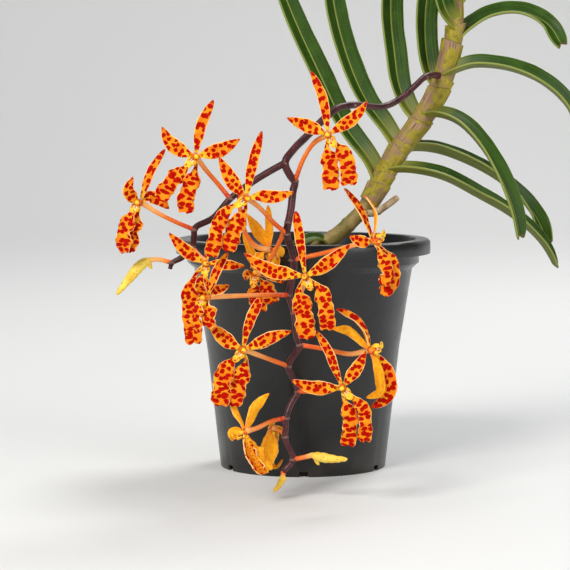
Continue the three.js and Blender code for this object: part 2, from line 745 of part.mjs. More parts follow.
const BLOOMS = [
  {
    name: "bloom_top",
    centre: [328, 134.5],
    y: -100,
    front: TO_THE_EYE,
    node: [295, 181, -83.6],
    pedicel: [[303, 160, -88], [314, 143, -94]],
    lip: [332, 141],
    tepals: [
      tepal("dorsal", [[326, 116, 0], [322, 96, 0.5], [311, 71, 1]], { width: 4.4 }),
      tepal("petal", [[313, 128, 0], [300, 123, 0.5], [287, 118, 1]], { width: 5.4 }),
      tepal("petal", [[340, 127, 0], [352, 119, 0.5], [361, 110, 1], [367, 101, 2]], { width: 5 }),
      tepal("lateral", [[327, 148, 0], [330, 163, 0.5], [331, 190, 0]], { width: 7 }),
      tepal("lateral", [[339, 146, 1], [348, 160, 2], [351, 185, 1.4]], { width: 6.2 }),
    ],
  },
  {
    name: "bloom_left_high",
    centre: [195.5, 156.5],
    y: -100,
    front: TO_THE_EYE,
    node: [230, 198.5, -88],
    pedicel: [[218, 184, -90], [206, 170, -94]],
    lip: [189, 163],
    tepals: [
      tepal("dorsal", [[198, 140, 0], [202, 123, 0.5], [213.5, 100, 1]], { width: 4.9 }),
      tepal("petal", [[182, 151, 0], [170, 142, 0.5], [162, 127, 1.5]]),
      tepal("petal", [[209, 153, 0], [222, 149, 0.5], [240, 139, 0]]),
      tepal("lateral", [[185, 169, 1], [173, 180, 2], [160, 199, 1.2]], { width: 7.6 }),
      tepal("lateral", [[196, 167, 0], [191, 184, 0.4], [186, 198, 0.4], [186, 213, 0]], { width: 7 }),
    ],
  },
  {
    name: "bloom_left_far",
    centre: [140, 202.5],
    y: -97,
    front: [-0.35, -1, -0.1],
    node: [194, 229.5, -88],
    pedicel: [[176, 222, -90], [158, 213, -93]],
    lip: [135.5, 209.5],
    tepals: [
      tepal("dorsal", [[145, 188, 0], [152, 170, 0], [165, 149, -1]], { width: 4 }),
      tepal("petal", [[133, 198, 3], [128, 189, 6], [133, 177, 7]], { roll: 35, width: 5 }),
      tepal("petal", [[148, 197, -1], [157, 198, -2], [169, 209, -4]], { width: 5.4 }),
      tepal("lateral", [[132, 213, 1.5], [124, 231, 2.4], [123, 253, 1.6]], { width: 6.6 }),
      tepal("lateral", [[139, 213, -1], [135, 231, -1.2], [132, 252, -1]], { width: 6 }),
    ],
  },
  {
    name: "bloom_heart",
    centre: [246.6, 197.8],
    y: -107,
    front: TO_THE_EYE,
    node: [287, 234, -86.8],
    pedicel: [[274, 223, -90], [260, 208, -98]],
    lip: [238.5, 203],
    tepals: [
      tepal("dorsal", [[249, 181, 0], [254, 158, 0.5], [262, 131, 0]], { width: 4.7 }),
      tepal("petal", [[237, 188, 0], [228, 174, 0.5], [219, 157, 1]], { width: 5.7 }),
      tepal("petal", [[261, 196, 0], [277, 196.5, 0.5], [294, 192, 0]], { width: 5.2 }),
      tepal("lateral", [[234, 205, 1.5], [221, 219, 2.2], [211, 257, 1.6]], { width: 6 }),
      tepal("lateral", [[245, 210, 0], [235, 228, 0.4], [227, 251, 0]], { width: 7.2 }),
    ],
  },
  {
    name: "bloom_left_low",
    centre: [206, 263.4],
    y: -94,
    front: TO_THE_EYE,
    node: [192, 247, -88],
    pedicel: [[196, 252, -89]],
    lip: [205, 272],
    tepals: [
      tepal("dorsal", [[208, 251, 0], [213, 240, 0], [221, 221, -0.4]], { width: 4 }),
      tepal("petal", [[192, 255, 0], [181, 246, 0.3], [169, 233, 0]], { width: 5.2 }),
      tepal("petal", [[218, 263.5, 0], [230, 265, 0.2], [245, 266, 0]], { width: 4.2 }),
      tepal("lateral", [[197, 274, 0.4], [191, 296, 0.8], [193, 324, 0.6], [196, 344, 0.4]], { width: 7 }),
      tepal("lateral", [[205, 280, -2], [204, 300, -4], [200, 318, -4]], { width: 5 }),
    ],
  },
  {
    name: "bloom_left_turned",
    centre: [207.5, 297],
    y: -105,
    front: [-0.55, -0.8, -0.1],
    node: [289, 295, -83.2],
    pedicel: [[262, 295, -90], [235, 296, -96], [218, 296.5, -101]],
    lip: [201, 303],
    tepals: [
      tepal("dorsal", [[212, 284, 0], [218, 269, -0.6], [228, 252, -2.4]], { width: 4, roll: 20 }),
      tepal("petal", [[202, 291, 3], [200, 283, 6], [202, 274, 8]], { width: 4.4, roll: 30 }),
      tepal("petal", [[215, 292, -2], [221, 289, -4], [229, 285, -7]], { width: 4.2 }),
      tepal("lateral", [[200, 305, 1], [196, 315, 1], [196, 331, 0]], { width: 5 }),
      tepal("lateral", [[208, 306, 1], [209, 315, 1.6], [206, 327, 0.8]], { width: 6.6 }),
    ],
  },
  {
    name: "bloom_centre",
    centre: [305, 276.5],
    y: -105,
    front: TO_THE_EYE,
    node: [294, 313, -84.4],
    pedicel: [[296, 303, -90], [303, 287, -99]],
    lip: [310, 286],
    tepals: [
      tepal("club", [[303, 261, 0], [300, 240, 0.5], [295.6, 211, 0]], { width: 4.4 }),
      tepal("petal", [[290, 274, 0], [273, 271, 0.4], [257, 263, 0.4], [244, 253, 1]]),
      tepal("petal", [[319, 269, 0], [333, 259, 0.5], [350, 244.5, 0]], { width: 5.6 }),
      tepal("lateral", [[299, 290, 0], [302, 309, 0.4], [306, 339, 0]], { width: 7.4 }),
      tepal("lateral", [[319, 287, 1.4], [325, 304, 2.2], [328, 330, 1.4]], { width: 6.6 }),
    ],
  },
  {
    name: "bloom_right_high",
    centre: [373, 240.5],
    y: -94,
    front: [0.75, -0.65, -0.1],
    node: [292, 260, -84.6],
    pedicel: [[315, 255, -86], [340, 249, -89], [358, 244, -92]],
    lip: [380, 236],
    tepals: [
      tepal("dorsal", [[367, 225, -1], [358, 207, -1], [344.5, 188, -1]], { width: 4 }),
      tepal("petal", [[367, 242, 1.6], [359, 241, 2.4], [349.5, 236, 2.4]], { width: 4.8 }),
      tepal("petal", [[375, 225, 2], [374.5, 210, 3], [364.5, 195, 4]], { width: 4.2, roll: 45 }),
      tepal(
        "lateral",
        [[379, 250, 1], [385, 263, 1.6], [388, 276, 1.6], [381, 284, 1]],
        { width: 5.4, roll: 35 },
      ),
      tepal(
        "lateral",
        [[384, 251, -2], [393, 267, -2.4], [392, 285, -2], [381, 293, -1.6]],
        { width: 5.8, roll: 35 },
      ),
    ],
  },
  {
    name: "bloom_low_left",
    centre: [243, 349.5],
    y: -101,
    front: TO_THE_EYE,
    node: [288, 366, -85],
    pedicel: [[274, 361, -89], [258, 355, -95]],
    lip: [237.5, 356],
    tepals: [
      tepal("club", [[246, 334, 0], [251, 318, 0.5], [261, 297, 0]], { width: 4.8 }),
      tepal("petal", [[232, 344, 0], [222, 336, 0.4], [208, 323, 0]]),
      tepal("petal", [[257, 344, 0], [272, 337, 0.6], [292, 331, 0.6]], { width: 5.2 }),
      tepal("lateral", [[233, 360, 1.4], [223, 375, 2.2], [219, 406, 1.4]], { width: 6.6 }),
      tepal("lateral", [[247, 361, 0], [241, 381, 0.2], [235, 406, 0]], { width: 6.8 }),
    ],
  },
  {
    name: "bloom_low_right",
    centre: [342.5, 387.5],
    y: -104,
    front: TO_THE_EYE,
    node: [298, 391.5, -83.2],
    pedicel: [[314, 391, -90], [330, 389, -97]],
    lip: [349.5, 395],
    tepals: [
      tepal("dorsal", [[336, 371, 0], [328, 350, 0], [315, 330, -1.6]], { width: 4.1 }),
      tepal("petal", [[327, 388, 0], [309, 386.5, 0.5], [291.5, 380, 0]], { width: 5.6 }),
      tepal("petal", [[350, 377, 0], [358, 366, 0.5], [366, 351, 0]], { width: 5 }),
      tepal("lateral", [[344, 399, 0], [350, 418, 0.4], [348, 446, 0]], { width: 6.2 }),
      tepal("lateral", [[354, 398, 1.4], [364, 412, 2.2], [365, 442, 1.4]], { width: 5.6 }),
    ],
  },
  {
    name: "bloom_right_low",
    centre: [370, 350.5],
    y: -92,
    front: [0.75, -0.65, -0.1],
    node: [300, 345, -86.8],
    pedicel: [[325, 349, -86], [350, 354, -89]],
    lip: [376.5, 348],
    tepals: [
      tepal("dorsal", [[366, 333, -1.4], [354, 318, -1.4], [336, 308.5, -1.4]], { width: 4, roll: 15 }),
      tepal("petal", [[362, 342, 2], [350, 331, 3], [331, 328.5, 3]], { width: 4.6, roll: 200 }),
      tepal("petal", [[368, 342, -3], [364, 332, -6], [357, 323, -8]], { width: 4, roll: 45 }),
      tepal(
        "lateral",
        [[380, 360, -1], [389, 376, -1.6], [388, 396, -1.6], [374, 408, -1]],
        { width: 5.4, roll: 35 },
      ),
      tepal(
        "lateral",
        [[376, 362, 2], [380, 378, 2.4], [380, 392, 2], [367, 398, 1.6]],
        { width: 5, roll: 215 },
      ),
    ],
  },
  {
    name: "bloom_foot",
    centre: [245, 432],
    y: -98,
    front: [-0.6, 0.45, -0.5],
    node: [286, 418, -86],
    pedicel: [[272, 421, -89], [257, 428, -94]],
    lip: [237, 436],
    tepals: [
      tepal("dorsal", [[241, 422, 0.5], [236, 414, 1], [231.6, 408, 1]], { width: 4 }),
      tepal("petal", [[239, 429, 1], [233, 433, 2], [232, 441, 1.4]], { width: 4.6, roll: 30 }),
      tepal("petal", [[251, 419, 0], [257, 406, 0], [269, 393, -1]], { width: 4.8 }),
      tepal("lateral", [[247, 444, 2.4], [250, 458, 3], [261, 474, 2.4]], { width: 6, roll: 180 }),
      tepal("lateral", [[252, 443, -0.6], [260, 456, -1], [268, 472, -1]], { width: 5.4 }),
    ],
  },
  {
    name: "bloom_foot_hanging",
    centre: [273, 428],
    y: -83,
    front: [0.2, 0.9, -0.4],
    node: [285, 437, -85.8],
    pedicel: [[281, 431, -84.5]],
    lip: [274, 434],
    tepals: [
      tepal("dorsal", [[271, 425, -5], [271, 426, -10], [272, 430, -15]], { width: 4 }),
      tepal("petal", [[267, 429, -6], [263, 433, -11], [262, 439, -16]], { width: 4.6 }),
      tepal("petal", [[278, 427, -6], [282, 429, -11], [284, 434, -16]], { width: 4.6 }),
      tepal("lateral", [[269, 440, 1], [267, 454, 1.6], [265, 470, 1.2]], { width: 6.2 }),
      tepal("lateral", [[273, 444, -2], [272, 458, -3], [276, 467, -3], [282, 460, -3]], { width: 4 }),
    ],
  },
  {
    name: "bloom_back_high",
    centre: [269.5, 250],
    y: -74,
    front: [0.1, 0.9, -0.3],
    node: [239, 193, -88],
    pedicel: [[241, 215, -85], [247, 236, -80], [258, 247.5, -76]],
    lip: [270, 257],
    tepals: [
      tepal("petal", [[264, 240, 0], [256, 228, 0], [247, 214, -0.4]], { width: 4.8 }),
      tepal("dorsal", [[269.5, 236, 0], [269, 222, 0], [268, 205, 0]], { width: 3.6 }),
      tepal("petal", [[276, 250, -1], [280, 252, -4], [282, 256, -8]], { width: 5 }),
      tepal("lateral", [[263, 253, 1], [258, 260, 3], [254, 269, 5]], { width: 4 }),
      tepal("lateral", [[271, 257, -3], [275, 260, -6], [276, 262, -9]], { width: 5 }),
    ],
  },
  {
    name: "bloom_back_low",
    centre: [256, 275],
    y: -63,
    front: [-0.1, -0.85, 0.2],
    node: [288, 222, -86.4],
    pedicel: [[284, 231, -81.5], [279, 243, -81], [271, 258, -80], [264, 268, -72]],
    lip: [255, 281],
    tepals: [
      tepal("dorsal", [[253, 260, 0], [249, 246, 0.4], [243, 233, 0]], { width: 4, roll: 180 }),
      tepal("petal", [[251, 274, 0], [246, 275, 2], [245, 281, 4]], { width: 4.8 }),
      tepal("petal", [[266, 273, 0], [276, 277, 0.6], [284, 283, 0]], { width: 5 }),
      tepal("lateral", [[254, 285, 0], [255, 299, 0.4], [259, 312, 0]], { width: 6.4 }),
      tepal("lateral", [[263, 284, 0.8], [271, 293, 1.2], [275, 303, 0.8]], { width: 5.6 }),
    ],
  },
];

// Buds: slim closed flowers, each with the little spur of its lip

const BUD_SHAPE = [[0, 0.4], [0.12, 0.85], [0.32, 1], [0.6, 0.8], [0.9, 0.5], [1, 0.2]];

function makeBud({ path, radius, pedicel, spur }) {
  const body = stalk(seenPath(path), BUD_SHAPE.map(([along, share]) => [along, share * radius]), 6);
  const stem = stalk(seenPath(pedicel), evenStations(2, () => PEDICEL_RADIUS), 6);
  const bump = stalk(seenPath(spur), [[0, 0.9], [1, 0.4]], 4);
  return union([body, stem, bump]).subtract(rachisCutter);
}

const BUDS = [
  {
    name: "bud_left",
    path: [[151, 259, -88], [141, 265, -88.5], [129, 279, -89], [116.5, 294.7, -89]],
    radius: 2.1,
    pedicel: [[171, 262.5, -87], [159, 259.5, -87.5], [149, 260, -88]],
    spur: [[149, 262, -88], [150, 266, -88], [152, 269, -88]],
  },
  {
    name: "bud_right",
    path: [[311, 455, -86], [320, 457, -87], [334, 459, -88], [347.7, 459.2, -88]],
    radius: 1.9,
    pedicel: [[293, 459.5, -84.4], [303, 457.5, -85.5], [313, 455, -86]],
    spur: [[315, 457, -86.5], [317, 462, -86.5], [319, 465, -86.5]],
  },
  {
    name: "bud_tip",
    path: [[283, 475, -85.5], [281, 482, -86], [277, 488, -86], [273, 491.5, -86]],
    radius: 1.3,
    pedicel: [[283, 471, -85], [283.2, 474, -85.2], [282.6, 477, -85.6]],
    spur: [[283, 477, -86], [285, 479, -86.4], [286.4, 480, -86.6]],
  },
];

// Assembly

addPiece("pot", "pot", makePot());
addPiece("bark_mix", "bark", makeBark());
addPiece("stem", "stem", makeStem());
for (const leaf of LEAVES) {
  addPiece(leaf.name, "leaf", makeLeaf(leaf));
}
addPiece("spray_rachis", "rachis", rachisBodies(stalk, 0).subtract(stemCutter));
for (const bloom of BLOOMS) {
  addPiece(bloom.name, "bloom", makeBloom(bloom));
}
for (const bud of BUDS) {
  addPiece(bud.name, "bud", makeBud(bud));
}

export default plant;
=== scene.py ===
# %% [markdown]
# # A potted renanthera in bloom
# This notebook dresses the solid model of a potted orchid: one leafy stem in a black plastic pot of bark,
# and a spray of spotted blooms that hangs in front of it. The solids are loaded first and never moved.
# Every living piece is then modelled again with a fine surface around the same named places.

# %% Load the solid model
import math
import random

import bpy
from mathutils import Matrix, Quaternion, Vector


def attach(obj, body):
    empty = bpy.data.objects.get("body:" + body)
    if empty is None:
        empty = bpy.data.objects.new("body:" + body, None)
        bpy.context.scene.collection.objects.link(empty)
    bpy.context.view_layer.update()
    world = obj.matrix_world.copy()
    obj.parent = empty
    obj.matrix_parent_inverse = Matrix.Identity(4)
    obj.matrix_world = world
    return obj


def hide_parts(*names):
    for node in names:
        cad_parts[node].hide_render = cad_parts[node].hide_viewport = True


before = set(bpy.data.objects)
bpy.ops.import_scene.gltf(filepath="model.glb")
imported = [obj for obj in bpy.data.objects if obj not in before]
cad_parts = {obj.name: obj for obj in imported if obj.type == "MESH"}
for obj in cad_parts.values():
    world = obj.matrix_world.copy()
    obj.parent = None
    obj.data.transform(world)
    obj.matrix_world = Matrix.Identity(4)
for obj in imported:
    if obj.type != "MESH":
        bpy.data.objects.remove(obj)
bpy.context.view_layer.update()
MM = 0.001
print("solid nodes:", len(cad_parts))

# %% [markdown]
# ## The view
# The plant was laid out from one front view, so a place on it is written as across, down and y: across
# and down in that view's own 570 steps a side, and y as how far in front of (-) or behind (+) the pot's
# axis it lies, in millimetres. The camera stands at the same eye, so the picture and the places agree.

# %% Eye, camera and places
EYE = Vector((-7.5, -977, 153.5))
EYE_DOWN = math.radians(4.5)
VIEW_MIDDLE = 285
SLOPE_PER_STEP = 4.222e-4


def seen(across, down, y):
    right = (across - VIEW_MIDDLE) * SLOPE_PER_STEP
    up = (VIEW_MIDDLE - down) * SLOPE_PER_STEP
    ray = Vector((
        right,
        math.cos(EYE_DOWN) + up * math.sin(EYE_DOWN),
        up * math.cos(EYE_DOWN) - math.sin(EYE_DOWN),
    ))
    return EYE + ray * ((y - EYE.y) / ray.y)


def read_list(text):
    """Reads rows of numbers that are written as "1 2 3, 4 5 6, ..."."""
    return [[float(number) for number in row.split()] for row in text.split(",")]


def seen_path(text):
    return [seen(*place) for place in read_list(text)]


bpy.ops.object.camera_add(location=EYE * MM, rotation=(math.pi / 2 - EYE_DOWN, 0, 0))
camera = bpy.context.object
camera.data.angle = 2 * math.atan(VIEW_MIDDLE * SLOPE_PER_STEP)
camera.data.clip_start = 0.05
bpy.context.scene.camera = camera
print("field of view:", round(math.degrees(camera.data.angle), 2), "degrees")

# %% [markdown]
# ## Hands
# A few small helpers stand for what a modeller does by hand again and again: letting go of everything,
# taking hold of one object, opening its mesh, applying a modifier, and joining pieces that grew as one.

# %% Selecting, applying and joining
def let_go():
    bpy.ops.object.select_all(action="DESELECT")


def take(piece):
    let_go()
    piece.select_set(True)
    bpy.context.view_layer.objects.active = piece


def open_mesh(action="SELECT"):
    bpy.ops.object.mode_set(mode="EDIT")
    bpy.ops.mesh.select_all(action=action)


def close_mesh():
    bpy.ops.object.mode_set(mode="OBJECT")


def open_picked(piece, parts, kind, wanted):
    """Opens the mesh with only the wanted ones of its polygons or edges selected."""
    open_mesh("DESELECT")
    close_mesh()
    for part in getattr(piece.data, parts):
        part.select = wanted(part)
    bpy.ops.object.mode_set(mode="EDIT")
    bpy.ops.mesh.select_mode(type=kind)


def apply_modifier(piece, kind, **settings):
    take(piece)
    modifier = piece.modifiers.new(kind.title(), kind)
    for setting, value in settings.items():
        setattr(modifier, setting, value)
    bpy.ops.object.modifier_apply(modifier=modifier.name)


def smooth_out(piece, levels):
    apply_modifier(piece, "SUBSURF", levels=levels, render_levels=levels)


def copy_of(piece):
    copy = piece.copy()
    copy.data = piece.data.copy()
    bpy.context.collection.objects.link(copy)
    return copy


def join(name, pieces):
    take(pieces[0])
    for piece in pieces:
        piece.select_set(True)
    bpy.ops.object.join()
    joined = bpy.context.object
    joined.name = name
    joined.data.name = name
    bpy.ops.object.transform_apply(location=True, rotation=True, scale=True)
    return joined


def keep_vectors(mesh, name, vectors):
    """Stores one vector for each vertex, which the finishes read."""
    layer = mesh.attributes.new(name, "FLOAT_VECTOR", "POINT")
    for item, vector in zip(layer.data, vectors):
        item.vector = vector


def keep_chart(mesh, flat):
    """Stores where each vertex lies on the piece's flat chart, in millimetres."""
    chart = mesh.uv_layers[0]
    chart.name = "millimetres"
    for loop in mesh.loops:
        chart.data[loop.index].uv = flat[loop.vertex_index]


def finish_piece(piece, node, edge=None):
    """Smooths the piece, all over or up to an edge angle, and hands it over in place of the solid node."""
    take(piece)
    if edge:
        bpy.ops.object.shade_smooth_by_angle(angle=edge)
    else:
        bpy.ops.object.shade_smooth()
    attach(piece, "root")
    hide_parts(node)
    print(piece.name, len(piece.data.polygons), "faces")


# %% [markdown]
# ## Paths, stalks and blades
# A plant is made of two kinds of shape: round stalks and thin blades, both along smooth paths. A stalk is
# drawn as a curve with a round bevel, whose radius may change from point to point, and is then turned
# into a mesh. A blade starts as a flat grid. Each row of the grid is moved to its place on the path and
# spread to the width of its outline, then Solidify gives the blade its flesh and Subdivision rounds it.

# %% A smooth path
PATH_FINENESS = 14


def smooth_path(points, count):
    """count + 1 points at even distances on a centripetal Catmull-Rom curve through the given ones."""
    ends = [points[0] * 2 - points[1], *points, points[-1] * 2 - points[-2]]
    fine = []
    for a, b, c, d in zip(ends, ends[1:], ends[2:], ends[3:]):
        t0, t1, t2 = [max((q - p).length ** 0.5, 1e-4) for p, q in ((a, b), (b, c), (c, d))]
        start = ((b - a) / t0 - (c - a) / (t0 + t1) + (c - b) / t1) * t1
        end = ((c - b) / t1 - (d - b) / (t1 + t2) + (d - c) / t2) * t1
        for step in range(PATH_FINENESS):
            s = step / PATH_FINENESS
            h1 = 2 * s**3 - 3 * s**2 + 1
            h2 = s**3 - 2 * s**2 + s
            h3 = -2 * s**3 + 3 * s**2
            h4 = s**3 - s**2
            fine.append(b * h1 + start * h2 + c * h3 + end * h4)
    fine.append(points[-1].copy())
    lengths = [0.0]
    for before, after in zip(fine, fine[1:]):
        lengths.append(lengths[-1] + (after - before).length)
    even = []
    segment = 0
    for step in range(count + 1):
        goal = lengths[-1] * step / count
        while segment < len(fine) - 2 and lengths[segment + 1] < goal:
            segment += 1
        share = (goal - lengths[segment]) / max(lengths[segment + 1] - lengths[segment], 1e-9)
        even.append(fine[segment].lerp(fine[segment + 1], min(share, 1)))
    return even, lengths[-1]


def along_list(knots, s):
    """The value at s on straight lines between (place, value) knots."""
    for (s0, v0), (s1, v1) in zip(knots, knots[1:]):
        if s <= s1:
            return v0 + (v1 - v0) * (s - s0) / (s1 - s0)
    return knots[-1][1]


# %% A stalk
def stalk(name, path, knots, material, steps=24, roundness=3):
    """A round stalk along a path. knots are (how far along, radius in mm)."""
    let_go()
    bpy.ops.curve.primitive_bezier_curve_add()
    line = bpy.context.object
    line.name = name
    line.data.splines.clear()
    line.data.bevel_depth = MM
    line.data.bevel_resolution = roundness
    line.data.use_fill_caps = True
    points, _ = smooth_path(path, steps)
    spline = line.data.splines.new("POLY")
    spline.points.add(steps)
    for step, point in enumerate(points):
        spline.points[step].co = (*(point * MM), 1)
        spline.points[step].radius = along_list(knots, step / steps)
    bpy.ops.object.convert(target="MESH")
    made = bpy.context.object
    open_mesh()
    bpy.ops.mesh.remove_doubles(threshold=1e-6)
    bpy.ops.mesh.normals_make_consistent(inside=False)
    close_mesh()
    made.data.materials.append(material)
    along = []
    for vertex in made.data.vertices:
        place = vertex.co / MM
        nearest = min(range(steps + 1), key=lambda step: (points[step] - place).length_squared)
        along.append((nearest / steps, 0, 0))
    keep_vectors(made.data, "leafwise", along)
    return made


# %% A blade
NOTCHED_FROM = 0.93
RAGGED_FROM = 0.84


def blade(name, path, front, width, outline, lift, thick, materials, rows, strips, roll=0, notch=0,
          ripple=0, ragged=0, spot_shift=0, fold=(0, 0)):
    """A thin blade along a path. outline is (how far along, share of the width), lift(s, side) raises it
    off its path, and fold bends its halves up about the keel, in degrees at its base and at its tip.
    ripple waves its edges and ragged its end."""
    let_go()
    bpy.ops.mesh.primitive_grid_add(x_subdivisions=strips, y_subdivisions=rows, size=1)
    sheet = bpy.context.object
    sheet.name = name
    points, length = smooth_path(path, rows)
    mesh = sheet.data
    leafwise = []
    flat = []
    for vertex in mesh.vertices:
        side = vertex.co.x * 2
        s = vertex.co.y + 0.5
        row = round(s * rows)
        before = points[max(row - 1, 0)]
        after = points[min(row + 1, rows)]
        tangent = (after - before).normalized()
        sideways = tangent.cross(front).normalized()
        sideways.rotate(Quaternion(tangent, math.radians(roll)))
        normal = sideways.cross(tangent)
        share = along_list(outline, s)
        waves = math.sin(21 * s + 2.4 * side + spot_shift) + 0.8 * math.sin(46 * s - 3 * side + spot_shift)
        edge = share * (1 + ripple * waves)
        bend = math.radians(fold[0] + (fold[1] - fold[0]) * s)
        reach = side * edge * width / 2
        rise = abs(reach) * math.sin(bend) + lift(s, side * share)
        place = points[row] + sideways * (reach * math.cos(bend)) + normal * rise
        place -= tangent * (notch * (1 - abs(side)) * max(0, (s - NOTCHED_FROM) / (1 - NOTCHED_FROM)))
        tears = math.sin(4 * side + spot_shift) + 0.4 * math.sin(9 * side + spot_shift)
        place += tangent * (ragged * tears * max(0, (s - RAGGED_FROM) / (1 - RAGGED_FROM)))
        vertex.co = place * MM
        leafwise.append((s, abs(side), 0))
        flat.append((side * share * width / 2, s * length + spot_shift))
    keep_vectors(mesh, "leafwise", leafwise)
    keep_chart(mesh, flat)
    for material in materials:
        mesh.materials.append(material)
    back = len(materials) - 1
    apply_modifier(sheet, "SOLIDIFY", thickness=thick * MM, offset=0, material_offset=back)
    smooth_out(sheet, 1)
    return sheet


# %% [markdown]
# ## Shader groups
# Four effects come back in many finishes, so each is built once as a node group. Blotches are the ragged
# spots of the petals, and specks are the same all through a body, for the lip, the buds and the stalks.
# Fibres are fine lines that run along a leaf or a sheath. Grain is the soft unevenness that keeps every
# surface from looking like plain plastic.

# %% Small tools for node trees
class Nodes:
    """A node tree, with short words for the nodes that come back everywhere."""

    def __init__(self, tree):
        self.tree = tree

    def feed(self, socket, source):
        if isinstance(source, bpy.types.NodeSocket):
            self.tree.links.new(source, socket)
        else:
            socket.default_value = source

    def add(self, kind, sources=(), **settings):
        """Adds a node, sets it, feeds its inputs and gives its outputs."""
        node = self.tree.nodes.new(kind)
        for setting, value in settings.items():
            setattr(node, setting, value)
        for socket, source in dict(sources).items():
            self.feed(node.inputs[socket], source)
        return node.outputs

    def calculate(self, operation, a, b, clamp=False):
        return self.add("ShaderNodeMath", {0: a, 1: b}, operation=operation, use_clamp=clamp)[0]

    def times(self, a, b):
        return self.calculate("MULTIPLY", a, b)

    def plus(self, a, b):
        return self.calculate("ADD", a, b)

    def noise(self, vector, scale, detail):
        return self.add("ShaderNodeTexNoise", {"Vector": vector, "Scale": scale, "Detail": detail})


def new_group(name, numbers, output):
    """A group that takes a Vector and the numbers and gives one value: its nodes, its start and its end."""
    tree = bpy.data.node_groups.new(name, "ShaderNodeTree")
    tree.interface.new_socket("Vector", in_out="INPUT", socket_type="NodeSocketVector")
    for label, value in numbers.items():
        socket = tree.interface.new_socket(label, in_out="INPUT", socket_type="NodeSocketFloat")
        socket.default_value = value
    tree.interface.new_socket(output, in_out="OUTPUT", socket_type="NodeSocketFloat")
    group = Nodes(tree)
    return group, group.add("NodeGroupInput"), tree.nodes.new("NodeGroupOutput").inputs


# %% Blotches
def build_blotches(name, space):
    """Ragged spots on a flat chart (space "2D") or all through a body ("3D")."""
    group, start, end = new_group(name, {"Size": 2.2, "Fill": 0.4, "Ragged": 0.5}, "Mask")
    density = group.calculate("DIVIDE", 1.0, start["Size"])
    wobble = group.noise(start["Vector"], group.times(density, 1.7), 2.0)["Color"]
    centred = group.add("ShaderNodeVectorMath", {0: wobble, 1: (0.5, 0.5, 0.5)}, operation="SUBTRACT")[0]
    reach = group.times(start["Ragged"], start["Size"])
    push = group.add("ShaderNodeVectorMath", {0: centred, "Scale": reach}, operation="SCALE")[0]
    moved = group.add("ShaderNodeVectorMath", {0: start["Vector"], 1: push})[0]
    cells = group.add("ShaderNodeTexVoronoi", {"Vector": moved, "Scale": density, "Randomness": 0.74},
                      voronoi_dimensions=space)["Distance"]
    sizes = group.noise(start["Vector"], group.times(density, 0.6), 1.0)["Fac"]
    drift = group.times(group.calculate("SUBTRACT", sizes, 0.5), 0.2)
    inside = group.calculate("SUBTRACT", group.plus(start["Fill"], drift), cells)
    group.feed(end[0], group.calculate("ADD", group.times(inside, 14.0), 0.5, clamp=True))
    return group.tree


blotches = build_blotches("blotches", "2D")
specks = build_blotches("specks", "3D")

# %% Fibres and grain
group, start, end = new_group("fibres", {"Across": 2.4, "Along": 0.06}, "Value")
split = group.add("ShaderNodeSeparateXYZ", {0: start["Vector"]})
drawn = group.add("ShaderNodeCombineXYZ", {
    0: group.times(split[0], start["Across"]),
    1: group.times(split[1], start["Along"]),
    2: group.times(split[2], start["Across"]),
})[0]
group.feed(end[0], group.noise(drawn, 1.0, 3.0)["Fac"])
fibres = group.tree

group, start, end = new_group("grain", {"Scale": 900.0, "Detail": 4.0}, "Value")
group.feed(end[0], group.noise(start["Vector"], start["Scale"], start["Detail"])["Fac"])
grain = group.tree
print("shader groups:", [tree.name for tree in (blotches, specks, fibres, grain)])

# %% [markdown]
# ## Finishes
# Colours were picked from the photograph and are written as the 0 to 255 values of a screen. A
# helper turns them into the linear values that shaders use. Every finish ends in one Principled shader,
# whose plain numbers stay on the shader itself.

# %% Colours and the start of a finish
def colour(tone):
    """The linear colour of a tone that is written as red, green and blue from 0 to 255."""
    def linear(value):
        share = value / 255
        return share / 12.92 if share <= 0.04045 else ((share + 0.055) / 1.055) ** 2.4
    return (*[linear(value) for value in tone], 1)


